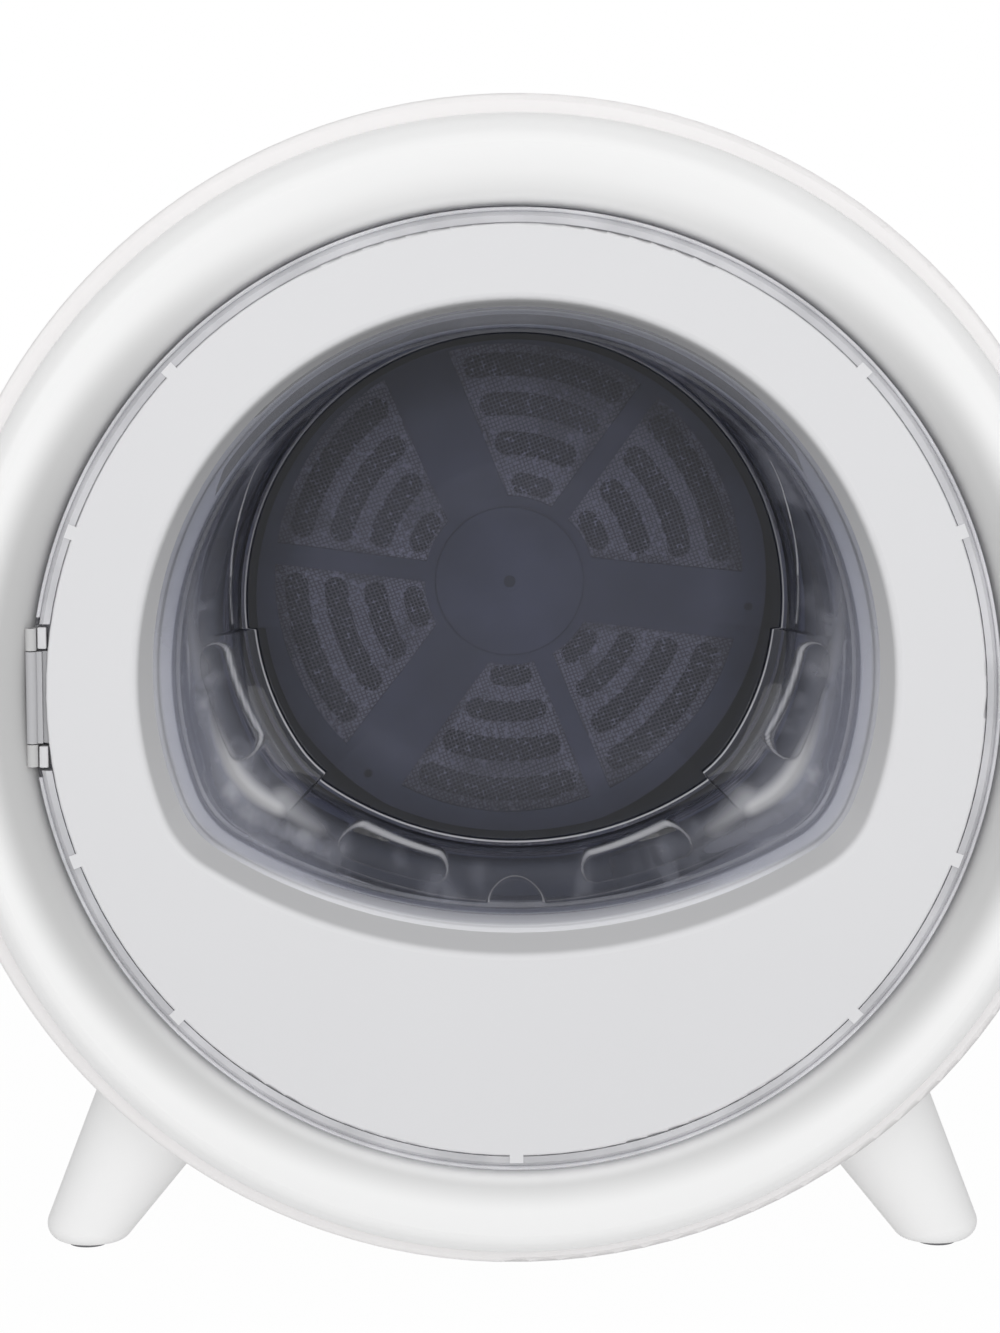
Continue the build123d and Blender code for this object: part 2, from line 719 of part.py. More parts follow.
def make_drum_front():
    """Front ring of the drum, turned in to its mouth and seamed to the wall by a rounded edge."""
    inner_corner = DRUM_FRONT_Y + DRUM_CORNER
    with BuildPart() as front:
        turned([
            (DRUM_MOUTH_RADIUS, DRUM_FRONT_Y),
            (DRUM_RADIUS - DRUM_CORNER, DRUM_FRONT_Y),
            (DRUM_RADIUS, inner_corner),
            (DRUM_OUTER, inner_corner),
            (DRUM_OUTER, inner_corner - 0.5),
            (DRUM_RADIUS - DRUM_CORNER + 0.5, DRUM_FRONT_Y - DRUM_WALL),
            (DRUM_MOUTH_RADIUS, DRUM_FRONT_Y - DRUM_WALL),
        ], DRUM_Z)
    write(front, "drum_front")


def make_drum_shell():
    """Drum wall: cylinder and conical rear corner."""
    rear_bore = MESH_RADIUS
    front_y = DRUM_FRONT_Y + DRUM_CORNER
    with BuildPart() as shell:
        turned([
            (DRUM_RADIUS, front_y),
            (DRUM_RADIUS, DRUM_CONE_Y),
            (DRUM_BACK_RADIUS + 0.1, DRUM_BACK_Y),
            (rear_bore, DRUM_BACK_Y),
            (rear_bore, DRUM_BACK_Y + DRUM_WALL),
            (DRUM_BACK_RADIUS + 0.8, DRUM_BACK_Y + DRUM_WALL),
            (DRUM_OUTER, DRUM_CONE_Y + 0.6),
            (DRUM_OUTER, front_y),
        ], DRUM_Z)
    write(shell, "drum_shell")


def make_drum_back():
    """Slotted back plate of the drum: six sectors of four rounded arc slots."""
    reach = SLOT_WIDTH / 2 + SLOT_MARGIN
    front = DRUM_BACK_Y - DRUM_BACK_THICKNESS
    with BuildPart() as back:
        ring(0, DRUM_BACK_RADIUS, front, DRUM_BACK_Y, DRUM_Z)
        with BuildSketch(across(DRUM_BACK_Y)):
            with Locations((0, DRUM_Z)):
                for third in range(3):
                    wide = WIDE_RIB_ANGLE + third * 120
                    for radius in SLOT_RADII:
                        beside_wide = math.degrees(math.asin((WIDE_RIB / 2 + reach) / radius))
                        beside_narrow = math.degrees(math.asin((NARROW_RIB / 2 + reach) / radius))
                        slot(radius, wide + beside_wide, wide + 60 - beside_narrow)
                        slot(radius, wide + 60 + beside_narrow, wide + 120 - beside_wide)
        extrude(amount=DRUM_BACK_THICKNESS, mode=Mode.SUBTRACT)
    write(back, "drum_back")


def slot(radius, start, end):
    """Draw one arc slot with rounded ends."""
    SlotArc(Edge.make_circle(radius, start_angle=start, end_angle=end), SLOT_WIDTH)


def make_filter_mesh():
    """Fine woven lint mesh in front of the slotted back."""
    with BuildPart() as mesh:
        ring(20.0, MESH_RADIUS, RETAINER_BACK_Y, RETAINER_BACK_Y + MESH_THICKNESS, DRUM_Z)
    write(mesh, "filter_mesh")


def rib_plane(angle, y):
    """Return the plane across the drum whose local X runs along a rib."""
    return spoke(angle, y, DRUM_Z)


def make_filter_retainer():
    """Ribbed spider that clamps the mesh: three wide ribs and three narrow ones."""
    with BuildPart() as retainer:
        ring(RETAINER_BORE, DRUM_BACK_RADIUS, RETAINER_Y, RETAINER_BACK_Y, DRUM_Z)
        ring(0, RETAINER_HUB_RADIUS, RETAINER_Y, RETAINER_BACK_Y, DRUM_Z)
        for third in range(3):
            for offset, width in ((0, WIDE_RIB), (60, NARROW_RIB)):
                with BuildSketch(rib_plane(WIDE_RIB_ANGLE + third * 120 + offset, RETAINER_BACK_Y)):
                    with Locations((RETAINER_BORE / 2 + 1, 0)):
                        Rectangle(RETAINER_BORE, width)
                extrude(amount=RETAINER_THICKNESS)
        for third in range(3):
            hole = rib_plane(WIDE_RIB_ANGLE + third * 120, RETAINER_BACK_Y)
            with BuildSketch(hole):
                with Locations((98.5, 0)):
                    Circle(1.7)
            extrude(amount=RETAINER_THICKNESS, mode=Mode.SUBTRACT)
    write(retainer, "filter_retainer")


def make_retainer_screws():
    """Three screws at the ends of the wide ribs, as one group."""
    with BuildPart() as screws:
        for third in range(3):
            with BuildSketch(rib_plane(WIDE_RIB_ANGLE + third * 120, RETAINER_BACK_Y)):
                with Locations((98.5, 0)):
                    Circle(1.7)
            extrude(amount=RETAINER_THICKNESS - 0.6)
    write(screws, "retainer_screws")


def make_hub_cap():
    """Flat round cap over the middle of the retainer."""
    with BuildPart() as cap:
        ring(0, HUB_CAP_RADIUS, HUB_CAP_Y, RETAINER_Y, DRUM_Z)
        fillet(cap.edges().group_by(Axis.Y)[0], 0.8)
        ring(0, 4.5, HUB_CAP_Y, HUB_CAP_Y + 1.2, DRUM_Z, mode=Mode.SUBTRACT)
        ring(0, 1.5, HUB_CAP_Y, RETAINER_Y - 0.2, DRUM_Z, mode=Mode.SUBTRACT)
    write(cap, "hub_cap")


def make_hub_screw():
    """Screw in the middle of the hub cap."""
    with BuildPart() as screw:
        ring(0, 2.6, HUB_CAP_Y + 0.3, HUB_CAP_Y + 1.2, DRUM_Z)
        ring(0, 1.5, HUB_CAP_Y + 1.2, RETAINER_Y - 0.3, DRUM_Z)
    write(screw, "hub_screw")


def make_lifter(angle, name):
    """Tapered vane inside the drum that lifts the clothes."""
    crest = DRUM_RADIUS - LIFTER_HEIGHT
    with BuildPart() as lifter:
        with BuildSketch(spoke(angle, DRUM_CONE_Y - 8, DRUM_Z)) as section:
            with BuildLine():
                Polyline(
                    (DRUM_RADIUS + 4, -LIFTER_BASE / 2),
                    (crest, -LIFTER_TOP / 2),
                    (crest, LIFTER_TOP / 2),
                    (DRUM_RADIUS + 4, LIFTER_BASE / 2),
                    close=True,
                )
            make_face()
            fillet(section.vertices().sort_by_distance((0, 0, 0))[0:2], 5.0)
        extrude(amount=DRUM_CONE_Y - DRUM_FRONT_Y - 22)
        ring(0, DRUM_RADIUS, DRUM_FRONT_Y, DRUM_CONE_Y, DRUM_Z, mode=Mode.INTERSECT)
    write(lifter, name)


def make_drum_shaft():
    """Stub shaft with a flange on the back of the drum."""
    with BuildPart() as shaft:
        ring(0, 22.0, DRUM_BACK_Y, DRUM_BACK_Y + 3, DRUM_Z)
        ring(0, SHAFT_RADIUS, DRUM_BACK_Y + 3, DUCT_BACK_Y - 4, DRUM_Z)
    write(shaft, "drum_shaft")


# Rear bulkhead and air path


def make_rear_bulkhead():
    """Inner rear wall with air windows, the bearing seat and the motor shaft's hole."""
    with BuildPart() as bulkhead:
        ring(0, CASING_BORE, REAR_BULKHEAD_Y, REAR_BULKHEAD_BACK_Y)
        ring(0, 22.0, REAR_BULKHEAD_Y, REAR_BULKHEAD_BACK_Y + 14, DRUM_Z)
        with BuildSketch(across(REAR_BULKHEAD_BACK_Y)) as windows:
            with Locations((0, DRUM_Z)):
                Circle(96.0)
                Circle(40.0, mode=Mode.SUBTRACT)
                with PolarLocations(0, 3, start_angle=30):
                    Rectangle(220.0, 12.0, mode=Mode.SUBTRACT)
            fillet(windows.vertices(), 4.0)
        extrude(amount=BULKHEAD_WALL, mode=Mode.SUBTRACT)
        seat_y = REAR_BULKHEAD_BACK_Y + 1
        ring(0, 14.0, seat_y, REAR_BULKHEAD_BACK_Y + 14, DRUM_Z, mode=Mode.SUBTRACT)
        ring(0, SHAFT_RADIUS + 1, REAR_BULKHEAD_Y, seat_y, DRUM_Z, mode=Mode.SUBTRACT)
        ring(0, 7.0, REAR_BULKHEAD_Y, REAR_BULKHEAD_BACK_Y, MOTOR_Z, mode=Mode.SUBTRACT)
        boss_y = BACK_Y - BACK_COVER_WALL
        case_screw_discs(CASE_BOSS_RADIUS, boss_y, boss_y - REAR_BULKHEAD_BACK_Y)
        case_screw_discs(CASE_SCREW_SHANK, boss_y, CASE_SCREW_LENGTH, Mode.SUBTRACT)
    write(bulkhead, "rear_bulkhead")


def make_rear_bearing():
    """Bearing that carries the drum shaft."""
    with BuildPart() as bearing:
        front = REAR_BULKHEAD_BACK_Y + 1
        ring(SHAFT_RADIUS + RUNNING, 14.0, front, front + 12, DRUM_Z)
    write(bearing, "rear_bearing")


def make_rear_seal():
    """Felt ring between the turning drum and the rear bulkhead."""
    with BuildPart() as seal:
        ring(98.5, 104.0, DRUM_BACK_Y + DRUM_WALL + 0.4, REAR_BULKHEAD_Y, DRUM_Z)
    write(seal, "rear_seal")


def duct_section(inset):
    """Draw the air duct from behind: a round pan with a neck down to the blower."""
    with Locations((0, DRUM_Z)):
        Circle(108.0 - inset)
    with Locations((0, MOTOR_Z + 42 + 45)):
        Rectangle(64.0 - 2 * inset, 90.0)


def make_air_duct():
    """Pan that leads hot air from the heater up behind the drum."""
    with BuildPart() as duct:
        with BuildSketch(across(DUCT_BACK_Y)):
            duct_section(0)
        extrude(amount=DUCT_DEPTH)
        with BuildSketch(across(DUCT_BACK_Y - DUCT_WALL)):
            duct_section(DUCT_WALL)
        extrude(amount=DUCT_DEPTH - DUCT_WALL, mode=Mode.SUBTRACT)
    write(duct, "air_duct")


def make_heater():
    """Finned heating block in the neck of the air duct."""
    with BuildPart() as heater:
        block(
            (-29.0, 29.0),
            (REAR_BULKHEAD_BACK_Y + 2, DUCT_BACK_Y - 4),
            (MOTOR_Z + 44, MOTOR_Z + 74),
        )
        with BuildSketch(Plane.XY.offset(MOTOR_Z + 44)):
            with Locations((0, (REAR_BULKHEAD_BACK_Y + DUCT_BACK_Y) / 2 - 1)):
                with GridLocations(5.0, 0, 11, 1):
                    Rectangle(3.2, 12.0)
        extrude(amount=30.0, mode=Mode.SUBTRACT)
    write(heater, "heater")


def make_thermostat():
    """Safety thermostat on the back of the air duct."""
    with BuildPart() as thermostat:
        ring(0, 8.0, DUCT_BACK_Y, DUCT_BACK_Y + 8, DRUM_Z + 40, 45.0)
        ring(0, 11.0, DUCT_BACK_Y, DUCT_BACK_Y + 1.5, DRUM_Z + 40, 45.0)
    write(thermostat, "thermostat")


def blower_section(inset):
    """Draw the blower housing: a round chamber with a wide outlet upwards."""
    with Locations((0, MOTOR_Z)):
        Circle(40.0 - inset)
    with Locations((0, MOTOR_Z + 21)):
        Rectangle(64.0 - 2 * inset, 42.0)


def make_blower_housing():
    """Housing round the blower wheel, with its air inlet at the back."""
    front = REAR_BULKHEAD_BACK_Y
    with BuildPart() as housing:
        with BuildSketch(across(DUCT_BACK_Y)):
            blower_section(0)
        extrude(amount=DUCT_DEPTH)
        with BuildSketch(across(DUCT_BACK_Y - DUCT_WALL)):
            blower_section(DUCT_WALL)
        extrude(amount=DUCT_DEPTH - 2 * DUCT_WALL, mode=Mode.SUBTRACT)
        ring(0, 24.0, DUCT_BACK_Y - DUCT_WALL, DUCT_BACK_Y, MOTOR_Z, mode=Mode.SUBTRACT)
        ring(0, 7.0, front, front + DUCT_WALL, MOTOR_Z, mode=Mode.SUBTRACT)
    write(housing, "blower_housing")


# Drive


def make_motor_body():
    """Drive motor with end caps and a bore for its shaft."""
    with BuildPart() as motor:
        turned([
            (MOTOR_SHAFT_RADIUS + RUNNING, 4.0),
            (10.0, 4.0),
            (10.0, 8.0),
            (MOTOR_RADIUS - 2, 8.0),
            (MOTOR_RADIUS, 10.0),
            (MOTOR_RADIUS, 82.0),
            (MOTOR_RADIUS - 2, 84.0),
            (10.0, 84.0),
            (10.0, 88.0),
            (MOTOR_SHAFT_RADIUS + RUNNING, 88.0),
        ], MOTOR_Z)
    write(motor, "motor_body")


def make_motor_bracket():
    """Two saddle plates on a curved foot that hold the motor to the barrel."""
    with BuildPart() as bracket:
        for back in (20.0, 75.0):
            block((-36.0, 36.0), (back - 3, back), (AXIS_Z - CASING_BORE - 1, MOTOR_Z + 4))
        block((-36.0, 36.0), (17.0, 75.0), (AXIS_Z - CASING_BORE - 1, AXIS_Z - CASING_BORE + 7))
        ring(0, MOTOR_RADIUS, 10.0, 82.0, MOTOR_Z, mode=Mode.SUBTRACT)
        ring(0, CASING_BORE, 10.0, 82.0, mode=Mode.INTERSECT)
    write(bracket, "motor_bracket")


def make_motor_shaft():
    """Motor shaft that carries the pulley in front and the blower wheel behind."""
    with BuildPart() as shaft:
        ring(0, MOTOR_SHAFT_RADIUS, -26.0, DUCT_BACK_Y - 3, MOTOR_Z)
    write(shaft, "motor_shaft")


def make_motor_pulley():
    """Flanged belt pulley on the motor shaft."""
    front = BELT_FRONT_Y - 2
    back = BELT_Y + 2
    with BuildPart() as pulley:
        turned([
            (MOTOR_SHAFT_RADIUS, front - 2),
            (PULLEY_RADIUS + 4, front - 2),
            (PULLEY_RADIUS + 4, front),
            (PULLEY_RADIUS, front),
            (PULLEY_RADIUS, back),
            (PULLEY_RADIUS + 4, back),
            (PULLEY_RADIUS + 4, back + 2),
            (MOTOR_SHAFT_RADIUS, back + 2),
        ], MOTOR_Z)
    write(pulley, "motor_pulley")


def belt_normal():
    """Return the outward normal of the belt's straight run on the right."""
    drop = (DRUM_OUTER - PULLEY_RADIUS) / (DRUM_Z - MOTOR_Z)
    return math.sqrt(1 - drop * drop), -drop


def belt_loop(grow, mode=Mode.ADD):
    """Draw the loop round drum and pulley, at a distance from their faces."""
    across_run, down_run = belt_normal()
    big = DRUM_OUTER + grow
    small = PULLEY_RADIUS + grow
    with Locations((0, DRUM_Z)):
        Circle(big, mode=mode)
    with Locations((0, MOTOR_Z)):
        Circle(small, mode=mode)
    Polygon(
        (big * across_run, DRUM_Z + big * down_run),
        (small * across_run, MOTOR_Z + small * down_run),
        (-small * across_run, MOTOR_Z + small * down_run),
        (-big * across_run, DRUM_Z + big * down_run),
        align=None,
        mode=mode,
    )


def make_drive_belt():
    """Flat belt round the drum and the motor pulley."""
    with BuildPart() as belt:
        with BuildSketch(across(BELT_Y)):
            belt_loop(BELT_GAP + BELT_THICKNESS)
            belt_loop(BELT_GAP, Mode.SUBTRACT)
        extrude(amount=BELT_WIDTH)
    write(belt, "drive_belt")


def idler_centre():
    """Return the idler's centre (x, z), outside the middle of the belt's left run."""
    across_run, down_run = belt_normal()
    middle = (DRUM_OUTER + PULLEY_RADIUS) / 2
    reach = middle + 2 * BELT_GAP + BELT_THICKNESS + IDLER_RADIUS
    return -reach * across_run, (DRUM_Z + MOTOR_Z) / 2 + reach * down_run


def make_idler_bracket():
    """Arm and pin that hold the idler pulley against the belt."""
    x, z = idler_centre()
    angle = math.degrees(math.atan2(z - AXIS_Z, x))
    radius = math.hypot(x, z - AXIS_Z)
    with BuildPart() as bracket:
        with BuildSketch(spoke(angle, 2.0, AXIS_Z)):
            with Locations((radius + 30, 0)):
                Rectangle(80.0, 18.0)
        extrude(amount=3.0)
        ring(0, MOTOR_SHAFT_RADIUS, BELT_FRONT_Y - 3, -1.0, z, x)
        with BuildSketch(spoke(angle, 14.0, AXIS_Z)):
            with Locations((CASING_BORE - 1, 0)):
                Rectangle(6.0, 18.0)
        extrude(amount=15.0)
        ring(0, CASING_BORE, BELT_FRONT_Y - 5, 20.0, mode=Mode.INTERSECT)
    write(bracket, "idler_bracket")


def make_idler_pulley():
    """Idler pulley that runs on the back of the belt."""
    x, z = idler_centre()
    bore = MOTOR_SHAFT_RADIUS + RUNNING
    with BuildPart() as pulley:
        ring(bore, IDLER_RADIUS, BELT_FRONT_Y - 1, BELT_Y + 1, z, x)
    write(pulley, "idler_pulley")


def make_blower_wheel():
    """Radial blower wheel: backing disc, hub and curved row of blades."""
    front = REAR_BULKHEAD_BACK_Y + 4
    with BuildPart() as wheel:
        ring(0, BLOWER_RADIUS, front, front + 1.6, MOTOR_Z)
        ring(0, 8.0, front, front + 12, MOTOR_Z)
        with BuildSketch(across(front + 14)):
            with Locations((0, MOTOR_Z)):
                with PolarLocations(29.0, 24):
                    Rectangle(9.0, 1.3, rotation=35)
        extrude(amount=14.0)
        ring(0, MOTOR_SHAFT_RADIUS, front, front + 14, MOTOR_Z, mode=Mode.SUBTRACT)
    write(wheel, "blower_wheel")


# Controls


def curved_band(inner, outer):
    """Keep only what lies between two radii from the casing's axis."""
    with BuildSketch(across(PANEL_Y + PANEL_LENGTH)) as band:
        with Locations((0, AXIS_Z)):
            Circle(outer)
            Circle(inner, mode=Mode.SUBTRACT)
    extrude(band.sketch, amount=2 * PANEL_LENGTH, mode=Mode.INTERSECT)


def display_footprint(length, width, mode=Mode.ADD):
    """Raise the display's rounded plan through the control panel."""
    with BuildSketch(Plane.XY.offset(AXIS_Z + CASING_BORE / 2)) as plan:
        with Locations((-8.0, PANEL_Y)):
            RectangleRounded(length, width, 3.0)
    extrude(plan.sketch, amount=BODY_RADIUS, mode=mode)


def button_line(place):
    """Return the plane of a button, whose normal points out of the casing."""
    return outwards(math.degrees(math.asin(place / BODY_RADIUS)), PANEL_Y)


def make_control_panel():
    """Curved oval panel on top of the barrel, with the display and button openings."""
    outer = BODY_RADIUS + PANEL_PROUD
    with BuildPart() as panel:
        panel_footprint(Mode.ADD)
        curved_band(outer - PANEL_WALL, outer)
        display_footprint(40.0, 18.0, Mode.SUBTRACT)
        for place in BUTTON_PLACES.values():
            peg(button_line(place), BUTTON_RADIUS + 0.4, outer - 10, outer + 5, Mode.SUBTRACT)
    write(panel, "control_panel")


def make_display_window():
    """Dark display window set flush in the control panel."""
    outer = BODY_RADIUS + PANEL_PROUD
    with BuildPart() as window:
        display_footprint(40.0, 18.0)
        curved_band(outer - 3, outer - 0.2)
    write(window, "display_window")


def make_button(name, place):
    """Round push button with a retaining flange and a stem towards its switch."""
    line = button_line(place)
    inner = BODY_RADIUS + PANEL_PROUD - PANEL_WALL
    top = BODY_RADIUS + BUTTON_PROUD
    with BuildPart() as button:
        peg(line, BUTTON_RADIUS, inner - 2.5, top)
        fillet(button.edges().filter_by(GeomType.CIRCLE).sort_by(Axis.Z)[-1], 0.6)
        peg(line, BUTTON_RADIUS + 1.5, inner - 2.5, inner - 1)
        peg(line, 2.5, inner - 5.5, inner - 2.5)
    write(button, f"button_{name}")


def make_control_board():
    """Circuit board under the control panel."""
    with BuildPart() as board:
        block(
            (-58.0, 58.0),
            (PANEL_Y - 15, PANEL_Y + 15),
            (AXIS_Z + BOARD_RISE - 1.6, AXIS_Z + BOARD_RISE),
        )
    write(board, "control_board")


def make_key_switches():
    """Three key switches on the board, one under each button, as one group."""
    stem = BODY_RADIUS + PANEL_PROUD - PANEL_WALL - 5.5
    with BuildPart() as switches:
        for place in BUTTON_PLACES.values():
            turn = math.asin(place / BODY_RADIUS)
            x = stem * math.sin(turn)
            top = stem * math.cos(turn) - BUTTON_TRAVEL - 1.0
            block((x - 3, x + 3), (PANEL_Y - 3, PANEL_Y + 3), (AXIS_Z + BOARD_RISE, AXIS_Z + top))
    write(switches, "key_switches")


def main():
    """Make and write every piece."""
    os.makedirs("parts", exist_ok=True)

    make_barrel_shell()
    make_front_bezel()
    make_front_bulkhead()
    make_mouth_seal()
    make_door_gasket()
    make_back_cover()
    make_case_screws()
    make_power_inlet()
    make_inlet_pins()

    for side, side_name in ((-1, "left"), (1, "right")):
        for y, end_name in ((FOOT_FRONT_Y, "front"), (FOOT_REAR_Y, "rear")):
            make_leg(side, y, f"leg_{end_name}_{side_name}")
    make_foot_pads()
    make_leg_bolts()

    make_door_panel()
    make_door_rim()
    make_door_lens()
    make_door_frame()
    make_door_screws()
    make_catch_plate()
    make_catch_magnet()
    make_door_switch()
    make_hinge_bracket()
    make_hinge_pin()
    make_hinge_arm()

    make_drum_front()
    make_drum_shell()
    make_drum_back()
    make_filter_mesh()
    make_filter_retainer()
    make_retainer_screws()
    make_hub_cap()
    make_hub_screw()
    for number, angle in enumerate((53.5, 173.5, 293.5), start=1):
        make_lifter(angle, f"lifter_{number}")
    make_drum_shaft()

    make_rear_bulkhead()
    make_rear_bearing()
    make_rear_seal()
    make_air_duct()
    make_heater()
    make_thermostat()
    make_blower_housing()

    make_motor_body()
    make_motor_bracket()
    make_motor_shaft()
    make_motor_pulley()
    make_drive_belt()
    make_idler_bracket()
    make_idler_pulley()
    make_blower_wheel()

    make_control_panel()
    make_display_window()
    for name, place in BUTTON_PLACES.items():
        make_button(name, place)
    make_control_board()
    make_key_switches()


main()
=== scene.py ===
"""Compact clothes dryer: finishes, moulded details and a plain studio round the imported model."""

import json
import logging
import math
from dataclasses import dataclass
from enum import Enum
from typing import Any, Sequence

import bpy
from mathutils import Matrix, Vector

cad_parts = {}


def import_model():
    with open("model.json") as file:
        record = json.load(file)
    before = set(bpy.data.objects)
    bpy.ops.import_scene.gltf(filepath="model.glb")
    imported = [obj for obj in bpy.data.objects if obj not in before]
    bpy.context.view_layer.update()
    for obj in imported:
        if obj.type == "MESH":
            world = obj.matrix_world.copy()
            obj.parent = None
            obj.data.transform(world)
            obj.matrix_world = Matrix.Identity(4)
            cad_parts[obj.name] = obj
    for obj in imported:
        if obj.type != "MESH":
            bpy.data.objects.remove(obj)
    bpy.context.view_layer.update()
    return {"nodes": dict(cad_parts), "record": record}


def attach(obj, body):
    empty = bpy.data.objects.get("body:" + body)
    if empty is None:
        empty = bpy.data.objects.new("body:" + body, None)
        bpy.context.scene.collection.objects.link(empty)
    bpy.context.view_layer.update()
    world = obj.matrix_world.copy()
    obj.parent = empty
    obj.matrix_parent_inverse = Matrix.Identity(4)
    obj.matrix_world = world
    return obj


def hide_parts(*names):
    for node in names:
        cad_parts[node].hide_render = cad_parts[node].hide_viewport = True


LOG = logging.getLogger("dryer")
MM = 0.001
IMAGE_WIDTH = 1000
SENSOR_WIDTH = 36.0
AXIS_HEIGHT = 235.0

Pair = tuple[float, float]
Colour = tuple[float, float, float]
WHITE = (1.0, 1.0, 1.0, 1.0)
CLOUDY = (0.3, 0.7)


class Across(Enum):
    """What a painted shade follows."""

    RADIUS = "distance from the casing's axis"
    DEPTH = "distance behind the front"


class Grain(Enum):
    """Which way the fine lines of a brushed surface run."""

    ALONG_X = "along x"
    ALONG_Y = "along y"


# Shader building


class Term:
    """A number inside a finish, on which plain arithmetic adds Math nodes."""

    def __init__(self, board: "Board", socket: bpy.types.NodeSocket) -> None:
        """Wrap a socket.

        Args:
            board: The finish that the socket belongs to.
            socket: The output socket that carries the number.
        """
        self.board = board
        self.socket = socket

    def _math(self, operation: str, *values: Any) -> "Term":
        """Add one Math node.

        Args:
            operation: The Math node's operation.
            values: Its inputs, as terms or plain numbers.

        Returns:
            The result.
        """
        node = self.board.node("ShaderNodeMath", {"operation": operation}, dict(enumerate(values)))
        return Term(self.board, node.outputs[0])

    def __add__(self, other: Any) -> "Term":
        """Add."""
        return self._math("ADD", self, other)

    def __radd__(self, other: Any) -> "Term":
        """Add, reflected."""
        return self._math("ADD", other, self)

    def __sub__(self, other: Any) -> "Term":
        """Subtract."""
        return self._math("SUBTRACT", self, other)

    def __rsub__(self, other: Any) -> "Term":
        """Subtract, reflected."""
        return self._math("SUBTRACT", other, self)

    def __mul__(self, other: Any) -> "Term":
        """Multiply."""
        return self._math("MULTIPLY", self, other)

    def __rmul__(self, other: Any) -> "Term":
        """Multiply, reflected."""
        return self._math("MULTIPLY", other, self)

    def size(self) -> "Term":
        """Return the absolute value."""
        return self._math("ABSOLUTE", self)

    def sine(self) -> "Term":
        """Return the sine."""
        return self._math("SINE", self)

    def root(self) -> "Term":
        """Return the square root."""
        return self._math("SQRT", self)

    def above(self, other: Any) -> "Term":
        """Return 1 where this is greater than other, else 0."""
        return self._math("GREATER_THAN", self, other)

    def largest(self, other: Any) -> "Term":
        """Return the larger of the two."""
        return self._math("MAXIMUM", self, other)

    def step(self, low: float, high: float, start: float = 0.0, end: float = 1.0) -> "Term":
        """Map the range low to high smoothly onto start to end.

        Args:
            low: The value that gives start.
            high: The value that gives end.
            start: The result at and before low.
            end: The result at and after high.

        Returns:
            The mapped number.
        """
        node = self.board.node(
            "ShaderNodeMapRange",
            {"interpolation_type": "SMOOTHSTEP", "clamp": True},
            {"Value": self, "From Min": low, "From Max": high, "To Min": start, "To Max": end},
        )
        return Term(self.board, node.outputs["Result"])


